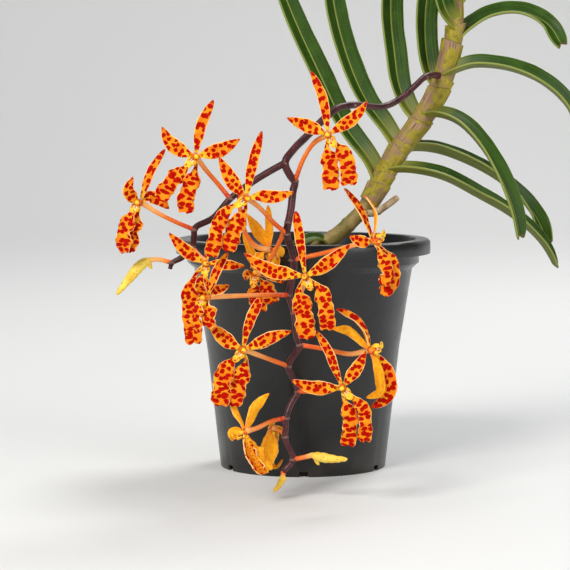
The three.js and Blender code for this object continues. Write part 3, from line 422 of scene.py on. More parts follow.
class Finish(Nodes):
    """A material with one Principled shader, and short words for painting it."""

    def __init__(self, name, roughness, specular=0.5, subsurface=0.0):
        self.material = bpy.data.materials.new(name)
        self.material.use_nodes = True
        super().__init__(self.material.node_tree)
        self.shader = self.tree.nodes["Principled BSDF"].inputs
        self.shader["Roughness"].default_value = roughness
        self.shader["Specular IOR Level"].default_value = specular
        if subsurface:
            self.shader["Subsurface Weight"].default_value = subsurface
            self.shader["Subsurface Radius"].default_value = (1.0, 0.35, 0.1)
            self.shader["Subsurface Scale"].default_value = 0.0008

    def chart(self):
        return self.add("ShaderNodeUVMap", uv_map="millimetres")[0]

    def place(self):
        return self.add("ShaderNodeTexCoord")["Object"]

    def kept(self, name):
        return self.add("ShaderNodeAttribute", attribute_name=name)["Vector"]

    def leafwise(self):
        """How far along the piece a point lies, and how far out from its middle line."""
        split = self.add("ShaderNodeSeparateXYZ", {0: self.kept("leafwise")})
        return split[0], split[1]

    def use(self, group, vector, **numbers):
        return self.add("ShaderNodeGroup", {"Vector": vector, **numbers}, node_tree=group)[0]

    def ramp(self, value, low, high):
        """0 below low and 1 above high, or the other way round where low is the larger."""
        return self.add("ShaderNodeMapRange", {0: value, 1: low, 2: high}, clamp=True)[0]

    def blend(self, share, first, second):
        first, second = [colour(tone) if isinstance(tone, tuple) else tone for tone in (first, second)]
        return self.add("ShaderNodeMix", {0: share, 6: first, 7: second}, data_type="RGBA")[2]

    def layers(self, tone, *coats):
        """Lays tones over the first one. Each coat is (value, low, high, tone), and is full at high."""
        for value, low, high, over in coats:
            tone = self.blend(self.ramp(value, low, high), tone, over)
        return tone

    def gloss(self, value, low, high, least, most):
        rough = self.add("ShaderNodeMapRange", {0: value, 1: low, 2: high, 3: least, 4: most})[0]
        self.feed(self.shader["Roughness"], rough)

    def done(self, tone, height, strength, distance_mm):
        """Paints the tone, raises the bumps and gives the material."""
        self.feed(self.shader["Base Color"], tone)
        bump = self.add("ShaderNodeBump", {
            "Height": height,
            "Strength": strength,
            "Distance": distance_mm * MM,
        })[0]
        self.feed(self.shader["Normal"], bump)
        print("finish:", self.material.name)
        return self.material


# %% [markdown]
# ### Petals
# The face of a petal is golden orange with ragged red spots, a thin pale rim, and yellow near the middle
# of the bloom. The spots are laid in the petal's own millimetres, so they keep their size on narrow and
# broad petals alike. The back is plain yellow orange with faint veins. Lateral sepals carry larger
# blotches that close up to cross bars near their tips.

# %% Petal finishes
GOLD = (236, 150, 30)
DEEP_GOLD = (228, 120, 18)
YELLOW = (244, 188, 44)
PEACH = (250, 196, 130)
RED = (184, 14, 1)
DARK_RED = (146, 5, 1)


def petal_face(name, size, fill, bars, tip=0.0, rimmed=False):
    """bars squeezes the chart across the tip, which draws the spots there out into cross bars; tip reddens
    the very end. A rimmed face keeps its spots near the edges only, with fine dots between."""
    face = Finish(name, roughness=0.55, specular=0.04, subsurface=0.04)
    chart = face.chart()
    along, across = face.leafwise()
    drift = face.use(grain, chart, Scale=0.22, Detail=1.0)
    ground = face.layers(
        GOLD, (drift, 0.38, 0.62, DEEP_GOLD), (along, 0.7, 1.1, DEEP_GOLD), (along, 0.3, 0.04, YELLOW),
        (across, 0.92, 0.99, PEACH),
    )
    squeeze = face.add("ShaderNodeMapRange", {0: along, 1: 0.2, 2: 0.7, 3: 0.95, 4: bars})[0]
    split = face.add("ShaderNodeSeparateXYZ", {0: chart})
    barred = face.add("ShaderNodeCombineXYZ", {0: face.times(split[0], squeeze), 1: split[1]})[0]
    spots = face.use(blotches, barred, Size=size, Fill=fill, Ragged=0.5)
    spots = face.times(spots, face.ramp(across, 0.985, 0.93))
    if rimmed:
        dots = face.use(blotches, chart, Size=1.25, Fill=0.24, Ragged=0.6)
        edge_spots = face.times(spots, face.ramp(across, 0.5, 0.6))
        spots = face.calculate("MAXIMUM", edge_spots, face.times(dots, 0.8))
    spots = face.times(spots, face.ramp(along, 0.01, 0.08))
    end = face.plus(along, face.times(drift, 0.12))
    spots = face.calculate("MAXIMUM", spots, face.times(face.ramp(end, 0.98, 1.03), tip))
    shade = face.use(grain, chart, Scale=1.4, Detail=2.0)
    red = face.layers(RED, (shade, 0.35, 0.7, DARK_RED))
    veins = face.use(fibres, chart, Across=2.2, Along=0.12)
    return face.done(face.blend(spots, ground, red), face.plus(veins, face.times(spots, 0.35)), 0.35, 0.25)


def petal_back():
    back = Finish("petal_back", roughness=0.5, specular=0.1, subsurface=0.06)
    chart = back.chart()
    along, _ = back.leafwise()
    veins = back.use(fibres, chart, Across=1.6, Along=0.08)
    ground = back.layers(
        (248, 180, 30), (veins, 0.35, 0.7, (238, 142, 18)), (along, 0.2, 0.0, (242, 132, 34)))
    shadows = back.use(blotches, chart, Size=1.9, Fill=0.34, Ragged=0.7)
    ground = back.blend(back.times(shadows, 0.3), ground, (222, 104, 16))
    return back.done(ground, veins, 0.4, 0.25)


DORSAL_FACE = petal_face("dorsal_face", size=2.35, fill=0.42, bars=0.9, tip=0.9)
PETAL_FACE = petal_face("petal_face", size=2.05, fill=0.41, bars=0.9, tip=0.8)
LATERAL_FACE = petal_face("lateral_face", size=1.9, fill=0.43, bars=0.7)
SIDE_FACE = petal_face("side_face", size=1.9, fill=0.42, bars=0.7, rimmed=True)
PETAL_BACK = petal_back()

# %% [markdown]
# ### Lip, column, stalks and buds
# The lip is yellow with small red marks and a whitish callus. Pedicels run from orange to salmon, buds
# are clear yellow with an orange flush, and the stalk of the spray is a dark purple brown with pale
# flecks and a slight sheen.

# %% Finishes of the small parts
def mottled(name, first, second, size_mm, roughness, spot=None, spot_size=1.0, spot_fill=0.3, bump=0.3,
            subsurface=0.0):
    """Two tones that drift into each other, with spots of a third on top where it has any."""
    finish = Finish(name, roughness, specular=0.3, subsurface=subsurface)
    place = finish.place()
    drift = finish.use(grain, place, Scale=1000 / size_mm, Detail=3.0)
    ground = finish.layers(first, (drift, 0.35, 0.65, second))
    if spot:
        marks = finish.use(specks, place, Size=spot_size * MM, Fill=spot_fill, Ragged=0.7)
        ground = finish.blend(marks, ground, spot)
    fine = finish.use(grain, place, Scale=2600.0, Detail=4.0)
    finish.gloss(fine, 0.0, 1.0, roughness - 0.08, roughness + 0.12)
    return finish.done(ground, fine, bump, 0.15)


LIP_YELLOW = mottled("lip_yellow", (248, 208, 46), (250, 176, 34), 2.5, 0.42, spot=(190, 20, 10),
                     spot_size=1.3, spot_fill=0.3)
LIP_WHITE = mottled("lip_callus", (255, 226, 190), (250, 190, 130), 1.5, 0.35, spot=(190, 40, 20),
                    spot_size=0.8, spot_fill=0.34)
COLUMN_RED = mottled("column_red", (236, 140, 34), (214, 84, 18), 1.6, 0.4, spot=(184, 14, 4),
                     spot_size=1.0, spot_fill=0.36)
BUD = mottled("bud", (242, 216, 92), (234, 184, 52), 4.0, 0.5, spot=(206, 124, 44), spot_size=1.2,
              spot_fill=0.22, bump=0.6, subsurface=0.06)
RACHIS = mottled("rachis", (48, 16, 18), (82, 36, 40), 5.0, 0.34, spot=(112, 74, 78), spot_size=0.8,
                 spot_fill=0.2, bump=0.45)
BRACT = mottled("bract", (132, 100, 88), (84, 54, 50), 2.0, 0.55)
STUB = mottled("stub", (196, 176, 140), (150, 124, 92), 3.0, 0.7, spot=(110, 84, 60), spot_size=2.0,
               spot_fill=0.22, bump=0.7)


def pedicel_finish():
    """Salmon red where it leaves the spray, orange along it and cream at the bloom, in fine streaks."""
    finish = Finish("pedicel", roughness=0.45, specular=0.2, subsurface=0.05)
    place = finish.place()
    along, _ = finish.leafwise()
    clouds = finish.use(grain, place, Scale=70.0, Detail=2.0)
    streaks = finish.use(fibres, place, Across=1500.0, Along=1500.0)
    way = finish.plus(along, finish.times(clouds, 1.4))
    tone = finish.layers((204, 60, 26), (way, 0.62, 1.1, (236, 114, 30)), (way, 1.15, 1.75, (248, 188, 110)))
    tone = finish.blend(finish.times(finish.ramp(streaks, 0.48, 0.75), 0.28), tone, (250, 196, 140))
    return finish.done(tone, streaks, 0.3, 0.15)


PEDICEL = pedicel_finish()

# %% [markdown]
# ## The blooms
# Each bloom has a dorsal sepal on top, two petals to the sides, and two lateral sepals that hang on thin
# claws and wave at their edges. They turn every way and overlap, so no single flower can be copied: each
# petal's way is a short list of places read from the view, with how far it comes forward of its bloom,
# and one builder bends a fresh blade along it. The outlines and waves are shared by all.

# %% Outlines and waves
TEPAL_START = 1.3
TEPAL_FLESH = 0.6
DORSAL_OUTLINE = read_list(
    "0 0.36, 0.08 0.46, 0.16 0.64, 0.28 0.88, 0.4 1, 0.56 1, 0.7 0.92, 0.82 0.76, 0.9 0.56, 0.96 0.34, "
    "1 0.08")
CLUB_OUTLINE = read_list(
    "0 0.36, 0.08 0.42, 0.16 0.52, 0.28 0.74, 0.42 0.92, 0.55 1, 0.7 1, 0.82 0.93, 0.9 0.78, 0.96 0.52, "
    "1 0.12")
PETAL_OUTLINE = read_list(
    "0 0.3, 0.06 0.4, 0.14 0.62, 0.25 0.88, 0.36 1, 0.5 0.99, 0.62 0.88, 0.74 0.7, 0.84 0.5, 0.92 0.31, "
    "0.97 0.17, 1 0.05")
BROAD_OUTLINE = read_list(
    "0 0.2, 0.1 0.2, 0.18 0.26, 0.24 0.44, 0.3 0.76, 0.36 0.94, 0.44 1, 0.55 0.9, 0.66 0.92, 0.78 1, "
    "0.88 0.98, 0.95 0.92, 0.98 0.82, 1 0.64")


def narrow_lift(s, side):
    keel = -0.22 * math.exp(-((side / 0.18) ** 2))
    return 0.5 * side * side + keel + 0.15 * math.sin(9 * s + 3 * side)


def broad_lift(s, side):
    wave = 1.05 * math.sin(17 * s + 2.2 * side) * abs(side)
    frill = 0.5 * math.sin(41 * s + 4 * side) * abs(side) ** 3
    return -0.5 * side * side + wave + frill - 0.2 * math.exp(-((side / 0.16) ** 2))


# Each kind has its outline, lift, rows, strips, ripple, ragged end, share of the width, and face.
KINDS = {
    "dorsal": (DORSAL_OUTLINE, narrow_lift, 22, 6, 0.04, 0, 0.86, DORSAL_FACE),
    "club": (CLUB_OUTLINE, narrow_lift, 22, 6, 0.04, 0, 0.84, DORSAL_FACE),
    "petal": (PETAL_OUTLINE, narrow_lift, 22, 6, 0.035, 0, 1, PETAL_FACE),
    "lateral": (BROAD_OUTLINE, broad_lift, 40, 10, 0.08, 0.4, 0.94, LATERAL_FACE),
    "side": (CLUB_OUTLINE, narrow_lift, 40, 10, 0.05, 0.2, 0.94, SIDE_FACE),
}
print("kinds of petals and sepals:", list(KINDS))

# %% [markdown]
# The middle of every bloom is the same, so it is modelled once, small and facing up, and copied. The
# column is a short cylinder, drawn in at its top by an extrude and a resize and closed by a rounded cap.
# The lip below it has a tongue, two upright side lobes, a pale callus and a blunt little spur.

# %% Column and lip, modelled once
TONGUE_PATH = [Vector((0, back, up)) for back, up in read_list("-0.6 1, -2.6 2.3, -4.3 2.6, -5.4 1.9")]
TONGUE_OUTLINE = read_list("0 0.7, 0.3 0.75, 0.62 1, 0.85 0.8, 1 0.3")
COLUMN_RADIUS = 1.45
COLUMN_LENGTH = 2.2
# How far each step of the column's cap rises, and how much it narrows.
CAP_STEPS = ((0.9, 0.78), (0.8, 0.9), (0.5, 0.7))
CAP_LEAN = 0.25


def squash_ball(name, radius, middle, stretch, material, tilt=0.0):
    let_go()
    bpy.ops.mesh.primitive_uv_sphere_add(segments=16, ring_count=10, radius=radius * MM,
                                         location=Vector(middle) * MM, rotation=(tilt, 0, 0))
    ball = bpy.context.object
    ball.name = name
    bpy.ops.transform.resize(value=stretch, orient_type="GLOBAL")
    ball.data.materials.append(material)
    return ball


def make_column():
    let_go()
    bpy.ops.mesh.primitive_cylinder_add(vertices=18, radius=COLUMN_RADIUS * MM, depth=COLUMN_LENGTH * MM,
                                        location=(0, 0, 0.3 * MM), end_fill_type="NGON")
    column = bpy.context.object
    column.name = "column"
    open_picked(column, "polygons", "FACE", lambda face: face.normal.z > 0.9)
    for rise, narrow in CAP_STEPS:
        bpy.ops.mesh.extrude_region_move(TRANSFORM_OT_translate={"value": (0, CAP_LEAN * MM, rise * MM)})
        bpy.ops.transform.resize(value=(narrow, narrow, 1))
    close_mesh()
    column.data.materials.append(COLUMN_RED)
    smooth_out(column, 1)
    return column


def tongue_lift(s, side):
    return 0.35 * side * side + 0.12 * math.sin(14 * s)


def make_middle():
    """The column and lip, in millimetres round the origin: +Z faces out of the bloom and -Y is down."""
    up = Vector((0, 0, 1))
    return join("bloom_middle", [
        make_column(),
        squash_ball("anther", 0.95, (0, 0.55, 3.5), (1, 0.85, 0.75), LIP_YELLOW),
        squash_ball("ear", 1.15, (-1.35, -1.9, 2.0), (0.38, 1.0, 1.25), LIP_YELLOW),
        squash_ball("ear", 1.15, (1.35, -1.9, 2.0), (0.38, 1.0, 1.25), LIP_YELLOW),
        blade("tongue", TONGUE_PATH, up, 2.9, TONGUE_OUTLINE, tongue_lift, 0.5, [LIP_YELLOW], 8, 6),
        squash_ball("callus", 0.55, (-0.5, -1.9, 2.25), (0.7, 1.5, 0.8), LIP_WHITE),
        squash_ball("callus", 0.55, (0.5, -1.9, 2.25), (0.7, 1.5, 0.8), LIP_WHITE),
        squash_ball("spur", 0.9, (0, -2.2, 0.3), (0.85, 0.9, 1.5), LIP_YELLOW, tilt=0.3),
    ])


middle_model = make_middle()
print("column and lip:", len(middle_model.data.polygons), "faces")

# %% [markdown]
# ### Fifteen blooms
# The list below gives for each bloom its middle, its depth, the way it faces, the place below which its
# lip hangs, and the way of its pedicel from the spray. Then come its five petals and sepals, each with its
# kind, its width, its way and, where it is turned, how many degrees it rolls about that way. The third
# number of a petal's places is how far they lie in front of the bloom's middle.

# %% The list of blooms
TO_THE_EYE = (0, -1, -0.1)
BLOOMS = [
    ("bloom_top", (328, 134.5), -100, TO_THE_EYE, (332, 141),
     "295 181 -83.6, 303 160 -88, 314 143 -94", [
        ("dorsal", 4.4, "326 116 0, 322 96 0.5, 311 71 1"),
        ("petal", 5.4, "313 128 0, 300 123 0.5, 287 118 1"),
        ("petal", 5, "340 127 0, 352 119 0.5, 361 110 1, 367 101 2"),
        ("lateral", 7, "327 148 0, 330 163 0.5, 331 190 0"),
        ("lateral", 6.8, "338 146 1, 346.5 160 2, 349.5 185 1.4"),
    ]),
    ("bloom_left_high", (195.5, 156.5), -100, TO_THE_EYE, (189, 163),
     "230 198.5 -88, 218 184 -90, 206 170 -94", [
        ("dorsal", 4.9, "198 140 0, 202 123 0.5, 213.5 100 1"),
        ("petal", 5.8, "182 151 0, 170 142 0.5, 162 127 1.5"),
        ("petal", 5.8, "209 153 0, 222 149 0.5, 240 139 0"),
        ("lateral", 6.8, "185 169 1, 173 180 2, 159 200 1.2"),
        ("lateral", 7, "196 167 0, 191 184 0.4, 186 198 0.4, 186 213 0"),
    ]),
    ("bloom_left_far", (140, 202.5), -97, (-0.35, -1, -0.1), (135.5, 209.5),
     "194 229.5 -88, 176 222 -90, 158 213 -93", [
        ("dorsal", 4, "145 188 0, 152 170 0, 165 149 -1"),
        ("petal", 5, "133 198 3, 128 189 6, 133 177 7", 35),
        ("petal", 5.4, "148 197 -1, 157 198 -2, 169 209 -4"),
        ("lateral", 6.6, "132 213 1.5, 124 231 2.4, 123 253 1.6"),
        ("lateral", 6, "138 213 -1, 133 231 -1.2, 129.5 252 -1"),
    ]),
    ("bloom_heart", (246.6, 197.8), -107, TO_THE_EYE, (238.5, 203),
     "287 234 -86.8, 274 223 -90, 260 208 -98", [
        ("dorsal", 4.7, "249 181 0, 254 158 0.5, 262 131 0"),
        ("petal", 5.7, "237 188 0, 228 174 0.5, 219 157 1"),
        ("petal", 5.2, "261 196 0, 277 196.5 0.5, 294 192 0"),
        ("lateral", 6, "234 205 1.5, 221 219 2.2, 211 257 1.6"),
        ("lateral", 7.2, "245 210 0, 235 228 0.4, 227 251 0"),
    ]),
    ("bloom_left_low", (206, 263.4), -94, TO_THE_EYE, (205, 272),
     "192 247 -88, 196 252 -89", [
        ("dorsal", 4, "208 251 0, 213 240 0, 221 221 -0.4"),
        ("petal", 5.2, "192 255 0, 181 246 0.3, 169 233 0"),
        ("petal", 4.2, "218 263.5 0, 230 265 0.2, 245 266 0"),
        ("lateral", 7.3, "196 274 0.4, 190 296 0.8, 191.5 322 0.6, 194.5 344 0.4"),
        ("lateral", 5, "205 280 -2, 204 300 -4, 200 318 -4"),
    ]),
    ("bloom_left_turned", (207.5, 297), -105, (-0.55, -0.8, -0.1), (201, 303),
     "289 295 -83.2, 262 295 -90, 235 296 -96, 218 296.5 -101", [
        ("dorsal", 4, "212 284 0, 218 269 -0.6, 228 252 -2.4", 20),
        ("petal", 4.4, "202 291 3, 200 283 6, 202 274 8", 30),
        ("petal", 4.2, "215 292 -2, 221 289 -4, 229 285 -7"),
        ("lateral", 5, "200 305 1, 196 315 1, 196 331 0"),
        ("lateral", 6.6, "208 306 1, 209 315 1.6, 206 327 0.8"),
    ]),
    ("bloom_centre", (305, 276.5), -105, TO_THE_EYE, (310, 286),
     "294 313 -84.4, 296 303 -90, 303 287 -99", [
        ("club", 4.4, "303 261 0, 300 240 0.5, 295.6 211 0"),
        ("petal", 5.8, "290 274 0, 273 271 0.4, 257 263 0.4, 244 253 1"),
        ("petal", 5.6, "319 269 0, 333 259 0.5, 350 244.5 0"),
        ("lateral", 7.8, "299 290 0, 303 309 0.4, 307 339 0"),
        ("lateral", 6.6, "319 287 1.4, 325 304 2.2, 328 330 1.4"),
    ]),
    ("bloom_right_high", (373, 240.5), -94, (0.75, -0.65, -0.1), (380, 236),
     "292 260 -84.6, 315 255 -86, 340 249 -89, 358 244 -92", [
        ("dorsal", 4, "367 225 -1, 358 207 -1, 344.5 188 -1"),
        ("petal", 4.8, "367 242 1.6, 359 241 2.4, 349.5 236 2.4"),
        ("petal", 4.2, "375 225 2, 374.5 210 3, 364.5 195 4", 45),
        ("lateral", 5.4, "379 250 1, 385 263 1.6, 388 276 1.6, 381 284 1", 35),
        ("lateral", 5.8, "384 251 -2, 393 267 -2.4, 392 285 -2, 381 293 -1.6", 35),
    ]),
    ("bloom_low_left", (243, 349.5), -101, TO_THE_EYE, (237.5, 356),
     "288 366 -85, 274 361 -89, 258 355 -95", [
        ("club", 4.8, "246 334 0, 251 318 0.5, 261 297 0"),
        ("petal", 5.8, "232 344 0, 222 336 0.4, 208 323 0"),
        ("petal", 5.2, "257 344 0, 272 337 0.6, 292 331 0.6"),
        ("lateral", 7.8, "233 360 1.4, 224 375 2.2, 220 406 1.4"),
        ("lateral", 7.4, "246 361 0, 239.5 381 0.2, 233 406 0"),
    ]),
    ("bloom_low_right", (342.5, 387.5), -104, TO_THE_EYE, (349.5, 395),
     "298 391.5 -83.2, 314 391 -90, 330 389 -97", [
        ("dorsal", 4.1, "336 371 0, 328 350 0, 315 330 -1.6"),
        ("petal", 5.6, "327 388 0, 309 386.5 0.5, 291.5 380 0"),
        ("petal", 5, "350 377 0, 358 366 0.5, 366 351 0"),
        ("lateral", 6.2, "344 399 0, 350 418 0.4, 348 446 0"),
        ("lateral", 5.6, "354 398 1.4, 364 412 2.2, 365 442 1.4"),
    ]),
    ("bloom_right_low", (370, 350.5), -92, (0.75, -0.65, -0.1), (376.5, 348),
     "300 345 -86.8, 325 349 -86, 350 354 -89", [
        ("dorsal", 4, "366 333 -1.4, 354 318 -1.4, 336 308.5 -1.4", 15),
        ("petal", 4.6, "362 342 2, 350 331 3, 331 328.5 3", 200),
        ("petal", 4, "368 342 -3, 364 332 -6, 357 323 -8", 45),
        ("dorsal", 6.4, "380 360 -1, 389 377 -1.6, 388 396 -1.6, 371 408 -1", 35),
        ("dorsal", 4.6, "376 362 2, 380 378 2.4, 380 392 2, 366 398 1.6", 215),
    ]),
    ("bloom_foot", (245, 432), -98, (-0.6, 0.45, -0.5), (237, 436),
     "286 418 -86, 272 421 -89, 257 428 -94", [
        ("club", 4.6, "241.5 422 0.5, 237 413 0.8, 231 402 0.6"),
        ("petal", 4.6, "239 429 1, 233 433 2, 232 441 1.4", 30),
        ("petal", 4.8, "251 419 0, 257 406 0, 269 393 -1"),
        ("side", 8.6, "247 442 2.4, 251.5 457 3, 264 474 2.4", 180),
        ("lateral", 5.4, "252 443 -0.6, 260 456 -1, 268 472 -1"),
    ]),
    ("bloom_foot_hanging", (273, 428), -83, (0.2, 0.9, -0.4), (274, 434),
     "285 437 -85.8, 281 431 -84.5", [
        ("dorsal", 4, "271 425 -5, 271 426 -10, 272 430 -15"),
        ("petal", 3.8, "270 431 -6, 268 436 -11, 268 442 -16"),
        ("petal", 4.6, "278 427 -6, 282 429 -11, 284 434 -16"),
        ("petal", 7, "270.5 436 1, 269 452 1.6, 266 471 1.2"),
        ("dorsal", 2.4, "272 452 -2, 272 464 -3, 276 467.5 -3, 283 459 -3"),
    ]),
    ("bloom_back_high", (269.5, 250), -74, (0.1, 0.9, -0.3), (270, 257),
     "239 193 -88, 241 215 -85, 247 236 -80, 258 247.5 -76", [
        ("petal", 4.8, "264 240 0, 256 228 0, 247 214 -0.4"),
        ("dorsal", 3.6, "269.5 236 0, 269 222 0, 268 205 0"),
        ("petal", 5, "276 250 -1, 280 252 -4, 282 256 -8"),
        ("lateral", 4, "263 253 1, 258 260 3, 254 269 5"),
        ("lateral", 5, "271 257 -3, 275 260 -6, 276 262 -9"),
    ]),
    ("bloom_back_low", (256, 275), -63, (-0.1, -0.85, 0.2), (255, 281),
     "288 222 -86.4, 284 231 -81.5, 279 243 -81, 271 258 -80, 264 268 -72", [
        ("dorsal", 4, "253 260 0, 249 246 0.4, 243 233 0", 180),
        ("petal", 3.8, "251 274 0, 247 275 2, 246 280 4"),
        ("petal", 5, "266 273 0, 276 277 0.6, 284 283 0"),
        ("lateral", 7, "255 284 0, 256.5 298 0.4, 260 312 0"),
        ("lateral", 6.4, "262 282 0.8, 269 292 1.2, 273 303 0.8"),
    ]),
]
print("blooms:", len(BLOOMS))

# %% [markdown]
# A pedicel is the bloom's own stalk. It swells a little where it enters the flower. The five blades start
# just outside the middle, so the column covers where they meet, and the whole bloom is joined into one
# object because it grew as one.

# %% Build the blooms
PEDICEL_KNOTS = read_list("0 1, 0.1 0.9, 0.5 0.85, 0.85 1, 1 1.25")
PEDICEL_END = 0.8
SPOT_STEP = 7.3


def make_tepal(number, centre, y, front, kind, width, way, roll=0):
    outline, lift, rows, strips, ripple, ragged, slim, face = KINDS[kind]
    way = [seen(across, down, y - forward) for across, down, forward in read_list(way)]
    start = centre + (way[0] - centre).normalized() * TEPAL_START
    return blade(
        kind, [start, *way], front, width * slim, outline, lift, TEPAL_FLESH, [face, PETAL_BACK], rows,
        strips, roll=roll, ripple=ripple, ragged=ragged, spot_shift=number * SPOT_STEP,
    )


def place_middle(centre, front, lip):
    middle = copy_of(middle_model)
    down = lip - centre
    down = (down - front * down.dot(front)).normalized()
    turn = Matrix((front.cross(down), -down, front)).transposed().to_4x4()
    middle.matrix_world = Matrix.Translation(centre * MM) @ turn
    return middle


def make_bloom(number, name, centre, y, front, lip, pedicel, tepals):
    centre = seen(*centre, y)
    front = Vector(front).normalized()
    pieces = [make_tepal(number * 5 + order, centre, y, front, *row) for order, row in enumerate(tepals)]
    way = [*seen_path(pedicel), centre - front * PEDICEL_END]
    pieces.append(stalk("pedicel", way, PEDICEL_KNOTS, PEDICEL, steps=16))
    pieces.append(place_middle(centre, front, seen(*lip, y)))
    finish_piece(join(name, pieces), name)


for number, bloom in enumerate(BLOOMS):
    make_bloom(number, *bloom)
bpy.data.objects.remove(middle_model)

# %% [markdown]
# ## Buds
# A bud is a closed flower: a slim body, thick near its stalk, with the lip's spur as a small bump below.

# %% Buds
BUD_KNOTS = read_list(
    "0 0.35, 0.06 0.66, 0.14 0.88, 0.3 1, 0.45 0.95, 0.6 0.8, 0.8 0.6, 0.92 0.47, 0.98 0.3, 1 0.12")
BUD_PEDICEL_KNOTS = read_list("0 0.95, 0.6 0.9, 1 1.1")
SPUR_KNOTS = read_list("0 0.9, 0.5 0.8, 0.9 0.55, 1 0.2")
BUD_RIPPLE = 0.08
BUDS = [
    ("bud_left", 2.1, "151 259 -88, 141 265 -88.5, 129 279 -89, 116.5 294.7 -89",
     "171 262.5 -87, 159 259.5 -87.5, 149 260 -88", "149 262 -88, 150 266 -88, 152 269 -88"),
    ("bud_right", 1.9, "311 455 -86, 320 457 -87, 334 459 -88, 347.7 459.2 -88",
     "293 459.5 -84.4, 303 457.5 -85.5, 313 455 -86", "315 457 -86.5, 317 462 -86.5, 319 465 -86.5"),
    ("bud_tip", 1.3, "283 475 -85.5, 281 482 -86, 277 488 -86, 273 491.5 -86",
     "283 471 -85, 283.2 474 -85.2, 282.6 477 -85.6", "283 477 -86, 285 479 -86.4, 286.4 480 -86.6"),
]


def make_bud(name, radius, path, pedicel, spur):
    knots = [(s, share * radius) for s, share in BUD_KNOTS]
    body = stalk("body", seen_path(path), knots, BUD, steps=28, roundness=5)
    for vertex in body.data.vertices:
        wave = math.sin(vertex.co.x / MM * 2.4 + vertex.co.z / MM * 1.7)
        vertex.co += vertex.normal * BUD_RIPPLE * MM * wave
    stem = stalk("pedicel", seen_path(pedicel), BUD_PEDICEL_KNOTS, PEDICEL, steps=10)
    spur = stalk("spur", seen_path(spur), SPUR_KNOTS, BUD, steps=8)
    finish_piece(join(name, [body, stem, spur]), name)


for bud in BUDS:
    make_bud(*bud)


# %% [markdown]
# ## The stalk of the spray
# It leaves the stem near the top, comes forward over the pot and hangs down in a zigzag, with a branch to
# the left. Every bend is a node with a small dry bract under the pedicel. The stalk is a beveled curve
# with a slight swelling at each node.

# %% Spray stalk
RACHIS_PATH = (
    "444 77 0, 434 75 -7, 425 77 -13, 416 85 -19, 404 96 -27, 391 104 -34, 379 107 -41, 367 106 -47, "
    "353 105 -53, 336 109 -60, 321 122 -67, 306 137 -75, 294 149 -81, 285 163 -85, 291 177 -84, "
    "295 182 -83.6, 293 191 -84, 291 209 -85.6, 287 230 -86.8, 287 236 -86.8, 292 251 -85.6, "
    "294 265 -84, 291 284 -83.4, 289 295 -83.2, 294 312 -84.4, 297 338 -86.4, 300 345 -86.8, "
    "290 361 -85.6, 288 367 -85, 292 376 -84, 298 391 -83.2, 292 402 -84.2, 286 418 -86, 286 427 -86.2, "
    "285 438 -85.8, 293 459 -84.4, 283 472 -85"
)
BRANCH_PATH = (
    "287 162 -85, 272 170 -86, 254 181 -87, 231 198 -88, 213 218 -88, 195 228 -88, 194 236 -88, "
    "192 247 -88, 181 258 -87, 172 263 -87, 170 269 -87"
)
RACHIS_KNOTS = read_list("0 1.5, 0.08 1.3, 0.26 1.35, 0.34 1.55, 0.6 1.4, 1 1.1")
BRANCH_KNOTS = read_list("0 1.35, 0.9 1.15, 1 0.8")
BRACT_FOOT_RADIUS = 1.75
BRACT_TOP_RADIUS = 1.3
BRACT_HEIGHT = 1.5
BRACT_UNEVENNESS = 0.12
BRACT_PLACES = [seen_path(pedicel)[0] for _, _, _, _, _, pedicel, _ in BLOOMS]
BRACT_PLACES += seen_path("171 262.5 -87, 293 459.5 -84.4, 425 77 -13, 353 105 -53, 285 163 -85")


def make_bract(place):
    let_go()
    bpy.ops.mesh.primitive_cone_add(
        vertices=12, radius1=BRACT_FOOT_RADIUS * MM, radius2=BRACT_TOP_RADIUS * MM,
        depth=BRACT_HEIGHT * MM, location=place * MM, end_fill_type="NGON",
    )
    bract = bpy.context.object
    open_mesh()
    bpy.ops.mesh.subdivide(number_cuts=1)
    bpy.ops.transform.vertex_random(offset=BRACT_UNEVENNESS * MM, seed=round(place.x * 7) % 90)
    close_mesh()
    bract.data.materials.append(BRACT)
    smooth_out(bract, 1)
    return bract


main = stalk("main", seen_path(RACHIS_PATH), RACHIS_KNOTS, RACHIS, steps=170)
branch = stalk("branch", seen_path(BRANCH_PATH), BRANCH_KNOTS, RACHIS, steps=60)
bracts = [make_bract(place) for place in BRACT_PLACES]
finish_piece(join("spray_rachis", [main, branch, *bracts]), "spray_rachis")
print("bracts:", len(bracts))

# %% [markdown]
# ## Leaves
# The leaves are leathery straps in two ranks, folded along the midrib and notched at the tip. Their green
# is dark above with fine lines along the blade, a pale midrib and a thin yellowish edge.

# %% Leaf finish
YELLOWED = (134, 134, 50)
DRY_TIP = (112, 84, 44)


def leaf_finish(name, dark, light, keel, rough):
    finish = Finish(name, roughness=rough, specular=0.2)
    chart = finish.chart()
    along, across = finish.leafwise()
    lines = finish.use(fibres, chart, Across=1.5, Along=0.02)
    clouds = finish.use(grain, chart, Scale=0.12, Detail=3.0)
    green = finish.layers(
        dark, (lines, 0.3, 0.72, light), (clouds, 0.5, 0.8, light), (across, 0.12, 0.03, keel),
        (across, 0.94, 1.0, keel), (along, 0.2, 0.03, YELLOWED), (along, 0.975, 1.0, DRY_TIP),
    )
    flecks = finish.ramp(finish.use(grain, chart, Scale=1.3, Detail=4.0), 0.62, 0.7)
    green = finish.blend(finish.times(flecks, 0.35), green, keel)
    finish.gloss(clouds, 0.3, 0.7, rough - 0.08, rough + 0.12)
    return finish.done(green, lines, 0.5, 0.3)


LEAF_FACE = leaf_finish("leaf_face", (28, 50, 5), (54, 86, 12), (128, 138, 64), 0.4)
LEAF_BACK = leaf_finish("leaf_back", (84, 98, 34), (118, 126, 58), (150, 150, 88), 0.5)

